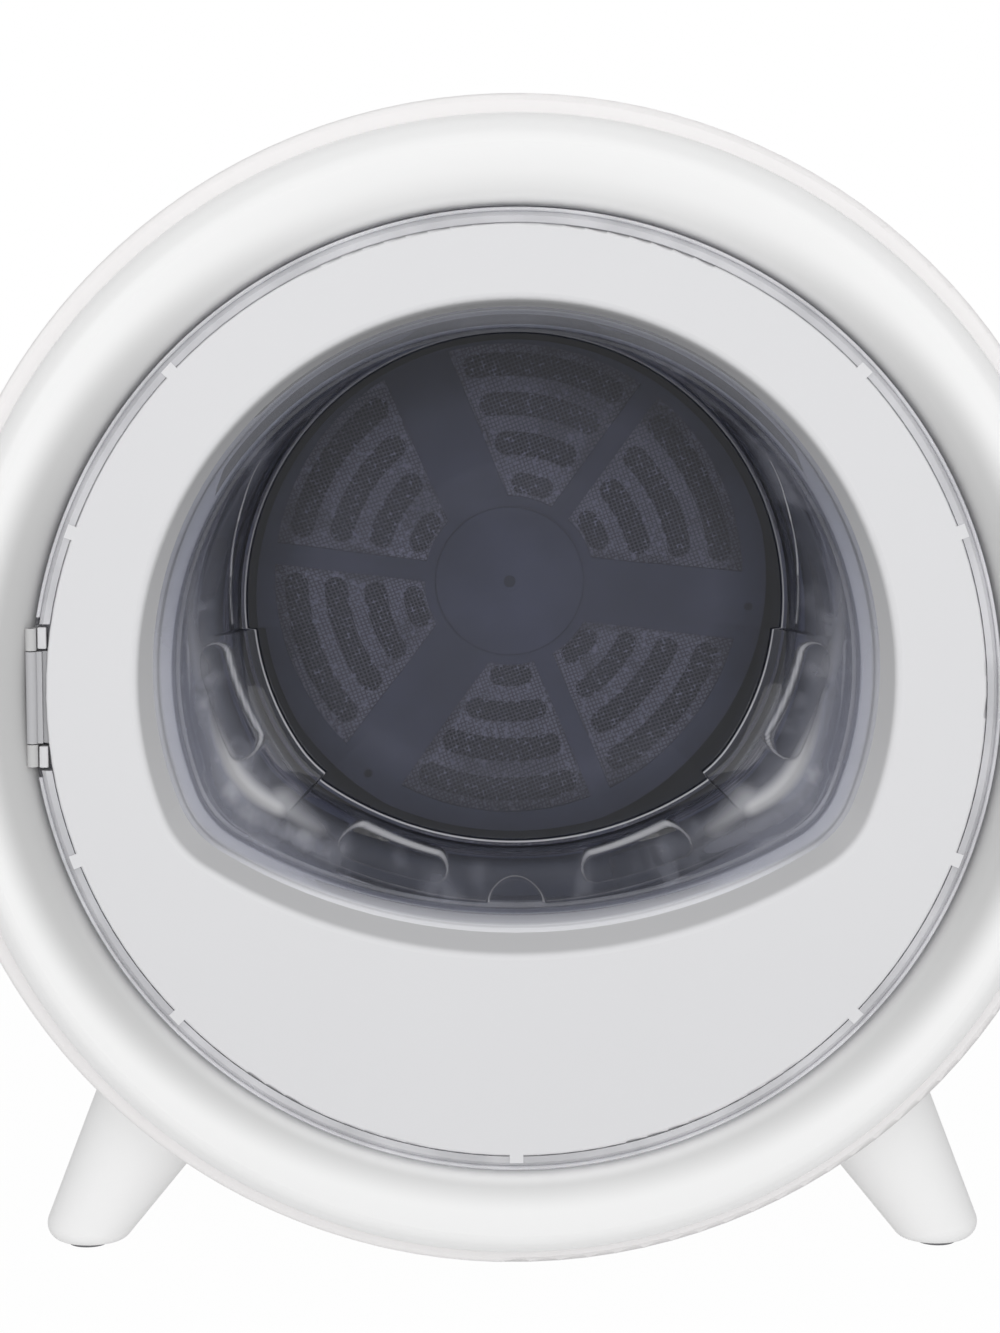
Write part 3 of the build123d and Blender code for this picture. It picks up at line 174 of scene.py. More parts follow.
class Board:
    """The nodes of one material or of the surroundings."""

    def __init__(self, owner: Any) -> None:
        """Start with no nodes.

        Args:
            owner: The material or world whose nodes these are.
        """
        self.owner = owner
        owner.use_nodes = True
        self.tree = owner.node_tree
        self.tree.nodes.clear()

    @classmethod
    def of_material(cls, name: str) -> "Board":
        """Start an empty material."""
        return cls(bpy.data.materials.new(name))

    def node(self, kind: str, settings: dict[str, Any], inputs: dict[Any, Any]) -> bpy.types.Node:
        """Add a node, set it up and feed its sockets.

        Args:
            kind: The node's type.
            settings: Its own properties, set first.
            inputs: Socket names or numbers, with values, sockets or terms.

        Returns:
            The node.
        """
        made = self.tree.nodes.new(kind)
        for key, value in settings.items():
            setattr(made, key, value)
        for key, value in inputs.items():
            if isinstance(value, Term):
                value = value.socket
            if isinstance(value, bpy.types.NodeSocket):
                self.tree.links.new(value, made.inputs[key])
            else:
                made.inputs[key].default_value = value
        return made

    def coordinates(self, scale: Sequence[float] = (1, 1, 1), move: Sequence[float] = (0, 0, 0)) -> Any:
        """Return Object coordinates, moved and then scaled.

        Args:
            scale: How much each axis is multiplied.
            move: What is added to each axis first.

        Returns:
            The vector socket.
        """
        source = self.node("ShaderNodeTexCoord", {}, {})
        moved = self.node(
            "ShaderNodeVectorMath", {"operation": "ADD"}, {0: source.outputs["Object"], 1: move}
        )
        scaled = self.node(
            "ShaderNodeVectorMath", {"operation": "MULTIPLY"}, {0: moved.outputs[0], 1: scale}
        )
        return scaled.outputs[0]

    def axes(self, vector: Any) -> tuple[Term, Term, Term]:
        """Split a vector into its three numbers."""
        parts = self.node("ShaderNodeSeparateXYZ", {}, {0: vector})
        return Term(self, parts.outputs[0]), Term(self, parts.outputs[1]), Term(self, parts.outputs[2])

    def noise(self, scale: float, detail: float = 3.0, vector: Any = None) -> Term:
        """Return soft noise between about 0.2 and 0.8.

        Args:
            scale: Its scale per metre.
            detail: How many finer layers it has.
            vector: The coordinates it follows; Object coordinates when left out.

        Returns:
            The noise.
        """
        place = self.coordinates() if vector is None else vector
        made = self.node("ShaderNodeTexNoise", {}, {"Vector": place, "Scale": scale, "Detail": detail})
        return Term(self, made.outputs["Fac"])

    def mix_colour(self, share: Any, first: Any, second: Any) -> Any:
        """Blend two colours.

        Args:
            share: How much of the second one shows.
            first: A colour or a colour socket.
            second: A colour or a colour socket.

        Returns:
            The colour socket.
        """
        pair = [(*c, 1.0) if isinstance(c, tuple) else c for c in (first, second)]
        made = self.node("ShaderNodeMix", {"data_type": "RGBA"}, {0: share, 6: pair[0], 7: pair[1]})
        return made.outputs[2]

    def bump(self, height: Any, depth: float) -> Any:
        """Turn a height into a normal.

        Args:
            height: The height, 0 to 1.
            depth: What a height of 1 stands for, in metres.

        Returns:
            The normal socket.
        """
        return self.node("ShaderNodeBump", {}, {"Height": height, "Distance": depth}).outputs[0]

    def glow(self, strength: Any) -> bpy.types.Node:
        """Add a white glow; a strength of 1 is white."""
        return self.node("ShaderNodeEmission", {}, {"Color": WHITE, "Strength": strength})

    def rays(self) -> tuple[Term, Term]:
        """Tell the rays apart that meet a surface.

        Returns:
            1 for what the camera sees, also through glass, and 1 for what reflections show.
        """
        path = self.node("ShaderNodeLightPath", {}, {})
        camera, through, bounces, gloss = (
            Term(self, path.outputs[name])
            for name in ("Is Camera Ray", "Is Transmission Ray", "Diffuse Depth", "Is Glossy Ray")
        )
        return camera.largest(through * (1 - bounces.above(0.5))), gloss

    def finish(self, shader: bpy.types.Node) -> bpy.types.Material:
        """Connect the last shader to the output.

        Args:
            shader: The node whose first output is the surface.

        Returns:
            The material.
        """
        self.node("ShaderNodeOutputMaterial", {}, {"Surface": shader.outputs[0]})
        return self.owner


def tone(colour: Colour, share: float) -> Colour:
    """Make a colour lighter or darker."""
    return tuple(min(1.0, channel * share) for channel in colour)


@dataclass(frozen=True)
class PaintedShade:
    """Painted shade: a soft darkening of a finish where shade falls, such as inside a rolled edge or deep
    in the casing, set for the sides, the top and the bottom.
    """

    across: Across
    light_at: float
    dark_at: float
    sides: float
    top: float
    bottom: float
    lift: float = 0.0
    reach: float = 0.18
    well_y: float = -0.149

    def apply_painted_shade(self, board: Board, colour: Any, plain: Colour) -> Any:
        """Blend a colour towards its painted shade.

        Args:
            board: The finish.
            colour: The colour socket to change.
            plain: The finish's plain colour.

        Returns:
            The changed colour socket.
        """
        x, y, z = board.axes(board.coordinates(move=(0, 0, -AXIS_HEIGHT * MM)))
        height = z * (1 / self.reach)
        in_front = 1.0
        place = y
        if self.across is Across.RADIUS:
            place = (x * x + z * z).root() + height * height * self.lift
            in_front = 1 - y.above(self.well_y)
        share = place.step(self.light_at, self.dark_at) * in_front
        sides, top, bottom = (tone(plain, shade) for shade in (self.sides, self.top, self.bottom))
        ends = board.mix_colour(height.step(-0.5, 0.5), bottom, top)
        return board.mix_colour(share, colour, board.mix_colour(height * height, sides, ends))


@dataclass(frozen=True)
class MouldedPlastic:
    """Opaque moulded plastic with faint flow marks, an orange-peel skin and, where given, painted shade."""

    name: str
    colour: Colour
    roughness: float = 0.3
    spread: float = 0.03
    coat: float = 0.0
    texture_mm: float = 1.2
    texture_depth_mm: float = 0.004
    marks_scale: float = 9.0
    polish_scale: float = 60.0
    polish_change: float = 0.04
    painted_shades: tuple[PaintedShade, ...] = ()

    def build(self) -> bpy.types.Material:
        """Make the material.

        Returns:
            The material.
        """
        board = Board.of_material(self.name)
        marks = board.noise(self.marks_scale, 4.0).step(*CLOUDY)
        polish = board.noise(self.polish_scale) * self.polish_change
        shade = tone(self.colour, 1 - self.spread)
        skin = board.noise(1 / (self.texture_mm * MM), 2.0)
        colour = board.mix_colour(marks, self.colour, shade)
        # Painted shade over the plastic's colour, where given.
        for painted_shade in self.painted_shades:
            colour = painted_shade.apply_painted_shade(board, colour, self.colour)
        shader = board.node("ShaderNodeBsdfPrincipled", {}, {
            "Base Color": colour,
            "Roughness": polish + (self.roughness - self.polish_change / 2),
            "Coat Weight": self.coat,
            "Coat Roughness": 0.06,
            "Normal": board.bump(skin, self.texture_depth_mm * MM),
        })
        return board.finish(shader)


@dataclass(frozen=True)
class BrushedMetal:
    """Metal with fine brush lines and cloudy handling marks."""

    name: str
    colour: Colour
    roughness: float = 0.35
    grain: Grain = Grain.ALONG_Y
    line_mm: float = 0.5
    line_depth_mm: float = 0.02
    stretch: float = 40.0
    clouds_scale: float = 14.0
    dull_share: float = 0.8

    def build(self) -> bpy.types.Material:
        """Make the material.

        Returns:
            The material.
        """
        board = Board.of_material(self.name)
        fine = 1 / (self.line_mm * MM)
        squeeze = (1 / self.stretch, 1, 1) if self.grain is Grain.ALONG_X else (1, 1 / self.stretch, 1)
        lines = board.noise(fine, 2.0, board.coordinates(scale=squeeze))
        clouds = board.noise(self.clouds_scale, 4.0).step(*CLOUDY)
        dull = tone(self.colour, self.dull_share)
        shader = board.node("ShaderNodeBsdfPrincipled", {}, {
            "Base Color": board.mix_colour(clouds, self.colour, dull),
            "Metallic": 1.0,
            "Roughness": lines * 0.2 + clouds * 0.1 + (self.roughness - 0.15),
            "Normal": board.bump(lines, self.line_depth_mm * MM),
        })
        return board.finish(shader)


@dataclass(frozen=True)
class SoftRubber:
    """Rubber with a dusty bloom and a fine pore texture."""

    name: str
    colour: Colour
    roughness: float = 0.7
    pore_mm: float = 0.6
    pore_depth_mm: float = 0.02
    bloom_scale: float = 40.0

    def build(self) -> bpy.types.Material:
        """Make the material.

        Returns:
            The material.
        """
        board = Board.of_material(self.name)
        bloom = board.noise(self.bloom_scale, 5.0).step(0.45, 0.75)
        dusty = tuple(channel * 0.8 + 0.08 for channel in self.colour)
        pores = board.noise(1 / (self.pore_mm * MM), 2.0)
        shader = board.node("ShaderNodeBsdfPrincipled", {}, {
            "Base Color": board.mix_colour(bloom * 0.5, self.colour, dusty),
            "Roughness": bloom * 0.15 + (self.roughness - 0.05),
            "Normal": board.bump(pores, self.pore_depth_mm * MM),
        })
        return board.finish(shader)


@dataclass(frozen=True)
class PressedFelt:
    """Felt: matted fibres in slightly different greys."""

    name: str
    colour: Colour
    fibre_scale: float = 900.0
    fibre_depth_mm: float = 0.25
    dark_share: float = 0.55

    def build(self) -> bpy.types.Material:
        """Make the material.

        Returns:
            The material.
        """
        board = Board.of_material(self.name)
        fibres = board.noise(self.fibre_scale, 6.0)
        dark = tone(self.colour, self.dark_share)
        shader = board.node("ShaderNodeBsdfPrincipled", {}, {
            "Base Color": board.mix_colour(fibres.step(*CLOUDY), self.colour, dark),
            "Roughness": 0.95,
            "Sheen Weight": 0.4,
            "Normal": board.bump(fibres, self.fibre_depth_mm * MM),
        })
        return board.finish(shader)


@dataclass(frozen=True)
class TintedPlastic:
    """See-through moulded plastic, clear or smoked, with a milky haze that can change with depth and, where
    set, painted highlights and painted shade.

    The mesh may carry two marks: "edge" is 1 on moulded edges and soft bands where a highlight is painted,
    "shade" is 1 where shade is painted.
    A pair of places, in metres, says where a change starts and where it is complete.
    """

    name: str
    tint: Colour
    far_tint: Colour
    near_y: float = -0.11
    far_y: float = -0.084
    roughness: float = 0.02
    haze: float = 0.0
    far_haze: float = 0.0
    ledge_painted_highlight: float = 0.0
    ledge_y: Pair = (-0.1511, -0.1495)
    ledge_z: Pair = (0.155, 0.2)
    streak_haze_and_sheen: float = 0.0
    streak_y: Pair = (-0.145, -0.138)
    corner_painted_highlight: float = 0.0
    corner_x: Pair = (0.05, 0.10)
    corner_z: Pair = (0.30, 0.22)
    upper_painted_shade_share: float = 1.0
    upper_z: Pair = (0.26, 0.35)
    haze_colour: Colour = (0.5, 0.5, 0.55)
    painted_highlight_colour: Colour = (0.9, 0.9, 0.92)
    shade_colour: Colour = (0.16, 0.17, 0.21)
    shadow_tint: Colour = (0.85, 0.85, 0.88)
    flow_depth_mm: float = 0.02

    def mark(self, board: Board, name: str) -> Term:
        """Read one of the mesh's marks."""
        return Term(board, board.node("ShaderNodeAttribute", {"attribute_name": name}, {}).outputs["Fac"])

    def build(self) -> bpy.types.Material:
        """Make the material.

        Returns:
            The material.
        """
        board = Board.of_material(self.name)
        x, y, z = board.axes(board.coordinates())
        depth = y.step(self.near_y, self.far_y)
        # The rim's flat ledge, where a highlight is painted, stronger at the bottom.
        ledge = y.step(*self.ledge_y, 1.0, 0.0)
        edge = self.mark(board, "edge")
        shade = self.mark(board, "shade")
        flow = board.noise(45.0, 2.0)
        clouds = board.noise(25.0, 3.0).step(0.35, 0.7)
        # Streaks near the rim: flow marks with painted sheen on them.
        streaks = board.noise(60.0, 3.0, board.coordinates(scale=(1, 0.1, 1))).step(0.5, 0.75)
        streaks = streaks * y.step(*self.streak_y)
        # Painted highlight in the bowl's lower corners.
        corners = x.size().step(*self.corner_x) * z.step(*self.corner_z)
        tint = board.mix_colour(depth, self.tint, self.far_tint)
        # Painted shade darkens the clear tint where the shade mark is.
        clear = board.node("ShaderNodeBsdfPrincipled", {}, {
            "Base Color": board.mix_colour(shade, tint, self.shade_colour),
            "Roughness": clouds * 0.02 + self.roughness,
            "IOR": 1.49,
            "Transmission Weight": 1.0,
            "Normal": board.bump(flow, self.flow_depth_mm * MM),
        })
        # Painted highlights, from the edge mark and the ledge, take the highlight colour.
        bright = edge.largest(ledge * 0.8)
        milky = board.node("ShaderNodeBsdfPrincipled", {}, {
            "Base Color": board.mix_colour(bright, self.haze_colour, self.painted_highlight_colour),
            "Roughness": 0.12,
        })
        share = depth * (self.far_haze - self.haze) + self.haze
        # Less haze towards the top: painted shade.
        share = share * (clouds * 0.3 + 0.85) * z.step(*self.upper_z, 1.0, self.upper_painted_shade_share)
        share = share + (1 - depth) * (streaks * self.streak_haze_and_sheen + corners * self.corner_painted_highlight)
        # Painted shade where the shade mark is.
        share = share * (1 - shade * 0.8)
        share = share.largest(ledge * z.step(*self.ledge_z, self.ledge_painted_highlight, self.ledge_painted_highlight * 0.2))
        share = share.largest(edge)
        shader = board.node("ShaderNodeMixShader", {}, {0: share, 1: clear.outputs[0], 2: milky.outputs[0]})
        through = board.node("ShaderNodeBsdfTransparent", {}, {"Color": (*self.shadow_tint, 1.0)})
        path = board.node("ShaderNodeLightPath", {}, {})
        mixed = board.node("ShaderNodeMixShader", {}, {
            0: path.outputs["Is Shadow Ray"],
            1: shader.outputs[0],
            2: through.outputs[0],
        })
        return board.finish(mixed)


@dataclass(frozen=True)
class WovenWire:
    """Fine wire cloth: two sets of wires that pass over and under, with open holes and painted glints."""

    name: str
    colour: Colour
    pitch_mm: float = 1.55
    turn: float = 0.35
    wire_share: float = 0.3
    wire_depth_mm: float = 0.2
    painted_glint_scale: float = 420.0
    painted_glint_share: float = 2.6

    def build(self) -> bpy.types.Material:
        """Make the material.

        Returns:
            The material.
        """
        board = Board.of_material(self.name)
        x, _, z = board.axes(board.coordinates())
        across, up = math.cos(self.turn), math.sin(self.turn)
        wave = math.pi / (self.pitch_mm * MM)
        warp = ((x * across + z * up) * wave).sine()
        weft = ((z * across - x * up) * wave).sine()
        crossing = warp * weft
        cover = (1 - warp * warp).largest(1 - weft * weft)
        edge = math.cos(math.pi / 2 * self.wire_share) ** 2
        # Painted glints: specks of lighter colour, also a little less rough.
        painted_glint = board.noise(self.painted_glint_scale, 1.0).step(0.55, 0.72)
        pale = tone(self.colour, self.painted_glint_share)
        shader = board.node("ShaderNodeBsdfPrincipled", {}, {
            "Base Color": board.mix_colour(painted_glint, self.colour, pale),
            "Metallic": 0.6,
            "Roughness": 0.4 - painted_glint * 0.12,
            "Alpha": cover.step(edge - 0.06, edge + 0.06),
            "Normal": board.bump(cover * 0.6 + crossing * 0.4, self.wire_depth_mm * MM),
        })
        return board.finish(shader)


@dataclass(frozen=True)
class CircuitBoard:
    """Green lacquered board with straight tracks."""

    name: str
    colour: Colour
    tracks_scale: float = 160.0
    track_share: float = 1.6
    track_depth_mm: float = 0.05

    def build(self) -> bpy.types.Material:
        """Make the material.

        Returns:
            The material.
        """
        board = Board.of_material(self.name)
        cells = board.node("ShaderNodeTexBrick", {}, {
            "Vector": board.coordinates(),
            "Color1": (0.0, 0.0, 0.0, 1.0),
            "Color2": (0.3, 0.3, 0.3, 1.0),
            "Mortar": WHITE,
            "Scale": self.tracks_scale,
            "Mortar Size": 0.04,
        })
        tracks = Term(board, cells.outputs["Fac"])
        light = tone(self.colour, self.track_share)
        shader = board.node("ShaderNodeBsdfPrincipled", {}, {
            "Base Color": board.mix_colour(tracks, self.colour, light),
            "Roughness": 0.35,
            "Normal": board.bump(tracks, self.track_depth_mm * MM),
        })
        return board.finish(shader)


# The door's smoked bowl


@dataclass(frozen=True)
class Outline:
    """A window outline: a round top that meets a shallower round bottom at two soft corners."""

    top_radius: float
    top_rise: float
    bottom_radius: float
    bottom_edge: float
    corner_radius: float

    def corner(self) -> Vector:
        """Find the right-hand corner's arc, which touches both other arcs.

        Returns:
            Its centre.
        """
        top_reach = self.top_radius - self.corner_radius
        bottom_reach = self.bottom_radius - self.corner_radius
        bottom_rise = self.bottom_edge + self.bottom_radius
        rise = top_reach**2 - bottom_reach**2 + bottom_rise**2 - self.top_rise**2
        rise = rise / (2 * (bottom_rise - self.top_rise))
        return Vector((math.sqrt(top_reach**2 - (rise - self.top_rise) ** 2), rise))

    def reach(self, angle: float, centre_rise: float) -> float:
        """Measure how far the outline lies from a centre on its axis of symmetry.

        Args:
            angle: Direction in degrees, clockwise from straight up.
            centre_rise: The centre's height above the casing's axis.

        Returns:
            The distance in millimetres.
        """
        turn = math.radians(angle)
        way = Vector((abs(math.sin(turn)), math.cos(turn)))
        start = Vector((0.0, centre_rise))
        corner = self.corner()
        top = Vector((0.0, self.top_rise))
        bottom = Vector((0.0, self.bottom_edge + self.bottom_radius))
        shoulder = top + (corner - top).normalized() * self.top_radius - start
        foot = bottom + (corner - bottom).normalized() * self.bottom_radius - start
        facing = math.atan2(way.x, way.y)
        if facing < math.atan2(shoulder.x, shoulder.y):
            middle, radius = top, self.top_radius
        elif facing < math.atan2(foot.x, foot.y):
            middle, radius = corner, self.corner_radius
        else:
            middle, radius = bottom, self.bottom_radius
        along = way.dot(middle - start)
        return along + math.sqrt(along**2 - (middle - start).length_squared + radius**2)


@dataclass(frozen=True)
class Pocket:
    """A long recess with round ends in the bowl's wall, a raised pad, or only a painted highlight on it.

    A place is its direction in degrees, clockwise from straight up, and its distance down the wall
    in millimetres. A pad has a negative depth. A painted highlight is asked only for its glow, which
    starts weaker where first is below 1.
    """

    start: Pair
    end: Pair
    radius: float = 5.6
    depth: float = 1.6
    edge: float = 0.9
    line: float = 0.55
    line_half: Pair = (0.1, 0.8)
    least_lit: float = 0.6
    reach_of_wall: float = 110.0
    squeeze: float = 0.75
    first: float = 1.0

    def offset(self, place: Pair) -> tuple[Vector, Vector]:
        """Measure how a place lies to the recess's centre line.

        Args:
            place: The place on the wall.

        Returns:
            The way from the line to the place, and the line's own direction.
        """
        unit = math.radians(1) * self.reach_of_wall
        here, first, last = (
            Vector((angle * unit, down * self.squeeze)) for angle, down in (place, self.start, self.end)
        )
        line = last - first
        share = min(1.0, max(0.0, (here - first).dot(line) / line.length_squared))
        return here - first - line * share, line.normalized()

    def push(self, place: Pair) -> float:
        """Return how far the recess pushes the wall outwards at a place.

        Args:
            place: The place on the wall.

        Returns:
            The push in millimetres.
        """
        beyond = self.offset(place)[0].length - self.radius
        return self.depth * (1 - smooth(beyond, -self.edge, self.edge))

    def glow(self, place: Pair) -> float:
        """Return a painted highlight: a soft glow along the centre line.

        Args:
            place: The place on the wall.

        Returns:
            How bright the place is, 0 to 1.
        """
        away = self.offset(place)[0].length
        if away > self.radius + self.edge:
            return 0.0
        along = smooth((place[0] - self.start[0]) / (self.end[0] - self.start[0]), 0.0, 0.6)
        soft = 1 - smooth(away, self.radius - self.edge, self.radius + self.edge)
        return self.line * soft * (self.first + (1 - self.first) * along)

    def outline(self, place: Pair) -> float:
        """Return how strongly the recess's edge shows as a painted highlight line.

        The highlight is painted strongest on the side towards the base and at the two ends.

        Args:
            place: The place on the wall.

        Returns:
            How bright the place is, 0 to 1.
        """
        away, line = self.offset(place)
        fall = 1 - smooth(abs(away.length - self.radius), *self.line_half)
        lit = max(away.y, 0.7 * abs(away.dot(line))) / self.radius
        return self.line * fall * (self.least_lit + (1 - self.least_lit) * smooth(lit, 0.0, 0.9))


def smooth(value: float, low: float, high: float) -> float:
    """Return 0 at low, 1 at high and a soft step between them, whichever is larger."""
    share = min(1.0, max(0.0, (value - low) / (high - low)))
    return share * share * (3 - 2 * share)


def fold(angle: float) -> float:
    """Return the direction on the left half, which the right half mirrors."""
    return max(angle, 360.0 - angle)


@dataclass(frozen=True)
class Bowl:
    """The smoked bowl: clamped flange, stepped rim, curved wall with moulded pockets, flat base."""

    centre_rise: float = 25.0
    flange_radius: float = 166.0
    flange_front: float = -152.5
    flange_back: float = -150.0
    base_front: float = -83.0
    base_back: float = -80.0
    wall: float = 2.6
    wall_end: float = -86.2
    wall_lift: float = 0.2
    curve: float = 0.96
    outer_round: float = 6.0
    wall_rows: int = 66
    mouth: Outline = Outline(131.0, 8.5, 205.0, -87.0, 36.0)
    base: Outline = Outline(102.9, 27.2, 128.0, -66.0, 52.0)
    rim: tuple[Pair, ...] = (
        (-2.0, -152.5), (0.7, -152.5), (1.3, -152.3), (1.8, -151.8), (2.1, -151.1), (2.5, -150.6),
        (3.2, -150.4), (5.8, -150.2), (6.5, -149.9), (6.9, -149.3), (7.2, -148.2), (7.4, -146.6),
        (7.7, -145.8), (8.3, -145.1), (9.2, -144.7),
    )
    foot: tuple[Pair, ...] = (
        (0.5, -86.15), (0.9, -85.95), (1.2, -85.6), (1.35, -85.1), (1.4, -84.3), (1.5, -83.7),
        (1.8, -83.25), (2.3, -83.0),
    )
    # The painted highlight line along the base's edge: the insets it covers, its strength, brighter towards
    # the lower sides, and where that change runs.
    foot_line: Pair = (0.8, 1.3)
    foot_painted_highlight: Pair = (0.25, 0.4)
    foot_side: Pair = (300.0, 240.0)
    # The base's rows: share of its radius, and painted shade, darkest just inside the edge.
    base_rows: tuple[Pair, ...] = (
        (0.97, 1.0), (0.88, 0.75), (0.76, 0.0), (0.35, 0.0), (0.02, 0.0),
    )
    pockets: tuple[Pocket, ...] = (
        Pocket((261.0, 44.5), (244.0, 50.5), squeeze=0.6),
        Pocket((214.5, 42.5), (197.5, 38.5), squeeze=0.4),
        Pocket((179.9, 2.0), (180.1, 2.0), radius=10.6, depth=-0.9, edge=0.8, line=0.8, squeeze=0.31),
        Pocket((254.0, 30.0), (222.0, 30.0), radius=5.0, depth=-2.0, edge=5.0, line=0.0),
    )
    # Painted shade inside the pockets.
    pocket_shade: float = 0.1
    # Painted highlights: soft bright bands and thin bright lines on the wall, with no recess.
    lights: tuple[Pocket, ...] = (
        Pocket((255.0, 34.0), (231.0, 38.5), radius=5.4, edge=4.4, line=1.0, squeeze=0.7, first=0.45),
        Pocket((240.0, 24.0), (218.0, 32.0), radius=8.0, edge=7.5, line=0.25, squeeze=0.6),
        Pocket((231.0, 44.0), (223.0, 37.0), radius=5.5, edge=5.5, line=0.62, squeeze=0.6),
        Pocket((260.0, 33.0), (276.0, 8.0), radius=7.0, edge=7.0, line=0.48, squeeze=0.6),
        Pocket((267.0, 58.0), (277.0, 55.0), radius=0.5, edge=0.5, line=0.4, squeeze=1.0),
        Pocket((277.0, 55.0), (288.0, 49.5), radius=0.5, edge=0.5, line=0.7, squeeze=1.0),
        Pocket((288.0, 49.5), (292.5, 46.1), radius=0.6, edge=0.5, line=0.95, squeeze=1.0),
        Pocket((292.5, 46.1), (301.0, 35.9), radius=0.6, edge=0.5, line=0.95, squeeze=1.0),
        Pocket((301.0, 35.9), (307.0, 22.0), radius=0.5, edge=0.5, line=0.6, squeeze=1.0),
    )
    step_angles: Pair = (228.4, 265.3)
    step_inset: float = 3.2
    step_soft: float = 0.25
    step_from: Pair = (0.6, 0.85)
    step_zone: float = 0.8
    step_gap: float = 0.15
    gaps: tuple[tuple[float, float, float], ...] = (
        (0.0, 220.0, 0.3), (226.0, 268.0, 0.3), (0.0, 310.0, 0.75), (0.0, 361.0, 2.0),
    )
    last_angle: float = 359.999
    rows_to_foot: float = 0.15
    back_shares: tuple[float, ...] = (0.02, 0.5, 1.0)
    round_turns: tuple[int, ...] = (18, 36, 54, 72, 90)
    outer_shares: tuple[float, ...] = (0.8, 0.65, 0.5, 0.3, 0.0)
    shoulder_y: float = -147.0

    def angles(self) -> list[float]:
        """Place the mesh's columns, closer together where the wall is moulded.

        Returns:
            Their directions in degrees.
        """
        places = []
        angle = 0.0
        while angle < self.last_angle:
            places.append(angle)
            folded = fold(angle)
            near_step = min(abs(folded - edge) for edge in self.step_angles) < self.step_zone
            gap = next(gap for low, high, gap in self.gaps if low < folded < high)
            angle += self.step_gap if near_step else gap
        return places

    def rim_ring(self, angle: float, inset: float) -> float:
        """Return the radius of a rim line, inset from the mouth's outline."""
        return self.mouth.reach(angle, self.centre_rise) - inset

    def base_ring(self, angle: float, share: float) -> float:
        """Return the radius of the base's edge, which stands inwards between the two steps.

        Args:
            angle: Direction in degrees.
            share: How far down the wall the question is, 0 to 1.

        Returns:
            The radius in millimetres.
        """
        soft = self.step_soft
        after, until = (smooth(fold(angle), edge - soft, edge + soft) for edge in self.step_angles)
        inset = self.step_inset * after * (1 - until) * smooth(share, *self.step_from)
        return self.base.reach(angle, self.centre_rise) + self.wall_lift - inset

    def bend(self, share: float) -> float:
        """Return how far the wall has turned in from the rim's radius to the base's, 0 to 1."""
        whole = 1 - math.sqrt(1 - self.curve**2)
        return (1 - math.sqrt(1 - (self.curve * share) ** 2)) / whole

    def wall_profile(self, angle: float) -> list[tuple[float, float, float, float]]:
        """Return the wall's inner profile with its pockets.

        Args:
            angle: Direction in degrees.

        Returns:
            Rows of (radius, depth, edge mark, shade mark).
        """
        inset, front = self.rim[-1]
        start = self.rim_ring(angle, inset)
        plain = []
        for row in range(self.wall_rows + 1):
            even = row / self.wall_rows
            share = min(1.0, even + self.rows_to_foot * math.sin(math.pi * even) * even)
            end = self.base_ring(angle, share)
            radius = start + (end - start) * self.bend(share)
            plain.append(Vector((radius, front + (self.wall_end - front) * share)))
        folded = fold(angle)
        down = 0.0
        profile = []
        for row in range(1, len(plain)):
            step = plain[row] - plain[row - 1]
            down += step.length
            outwards = Vector((step.y, -step.x)).normalized()
            place = (folded, down)
            pushes = [pocket.push(place) for pocket in self.pockets]
            # Painted shade inside the pockets follows their depth.
            shade = max(0.0, max(pushes)) / self.pockets[0].depth
            moved = plain[row] + outwards * sum(pushes)
            # Painted highlights: the pockets' outlines and the soft bands.
            edges = [pocket.outline(place) for pocket in self.pockets]
            edges += [light.glow(place) for light in self.lights]
            profile.append((moved.x, moved.y, max(edges), shade * self.pocket_shade))
        return profile

    def inside(self, angle: float) -> list[tuple[float, float, float, float]]:
        """Return the inner profile in one direction, from the flange to the base.

        Args:
            angle: Direction in degrees.

        Returns:
            Rows of (radius, depth, edge mark, shade mark).
        """
        profile = [(self.rim_ring(angle, inset), y, 0.0, 0.0) for inset, y in self.rim]
        profile += self.wall_profile(angle)
        # Painted highlight along the base's edge, brighter towards the lower sides.
        lit = self.foot_painted_highlight[0] + self.foot_painted_highlight[1] * smooth(fold(angle), *self.foot_side)
        edge = self.base_ring(angle, 1.0)
        for inset, y in self.foot:
            on_line = self.foot_line[0] < inset < self.foot_line[1]
            # Painted shade just inside that line.
            shade = 1.0 if inset > self.foot_line[1] else 0.0
            profile.append((edge - inset, y, lit if on_line else 0.0, shade))
        flat = profile[-1][0]
        return profile + [(flat * share, self.base_front, 0.0, shade) for share, shade in self.base_rows]

    def outside(self, angle: float) -> list[Pair]:
        """Return the outer profile in one direction, from the base to the flange.

        Args:
            angle: Direction in degrees.

        Returns:
            Rows of (radius, depth).
        """
        foot = self.base_ring(angle, 0.0) + self.wall
        profile = [((foot - self.outer_round) * share, self.base_back) for share in self.back_shares]
        for turn in self.round_turns:
            bend = math.radians(turn)
            profile.append((
                foot - self.outer_round * (1 - math.sin(bend)),
                self.base_back - self.outer_round * (1 - math.cos(bend)),
            ))
        inset, front = self.rim[-1]
        start = self.rim_ring(angle, inset)
        end = self.base_ring(angle, 0.0)
        for share in self.outer_shares:
            radius = start + (end - start) * self.bend(share) + self.wall
            profile.append((radius, front + (self.wall_end - front) * share))
        shoulder = self.rim_ring(angle, -1.0)
        return profile + [(shoulder, self.shoulder_y), (shoulder, self.flange_back)]

    def flange_reach(self, angle: float) -> float:
        """Measure how far the flange's round edge lies from the bowl's own centre.

        Args:
            angle: Direction in degrees.

        Returns:
            The distance in millimetres.
        """
        turn = math.radians(angle)
        up = self.centre_rise * math.cos(turn)
        return -up + math.sqrt(up**2 - self.centre_rise**2 + self.flange_radius**2)

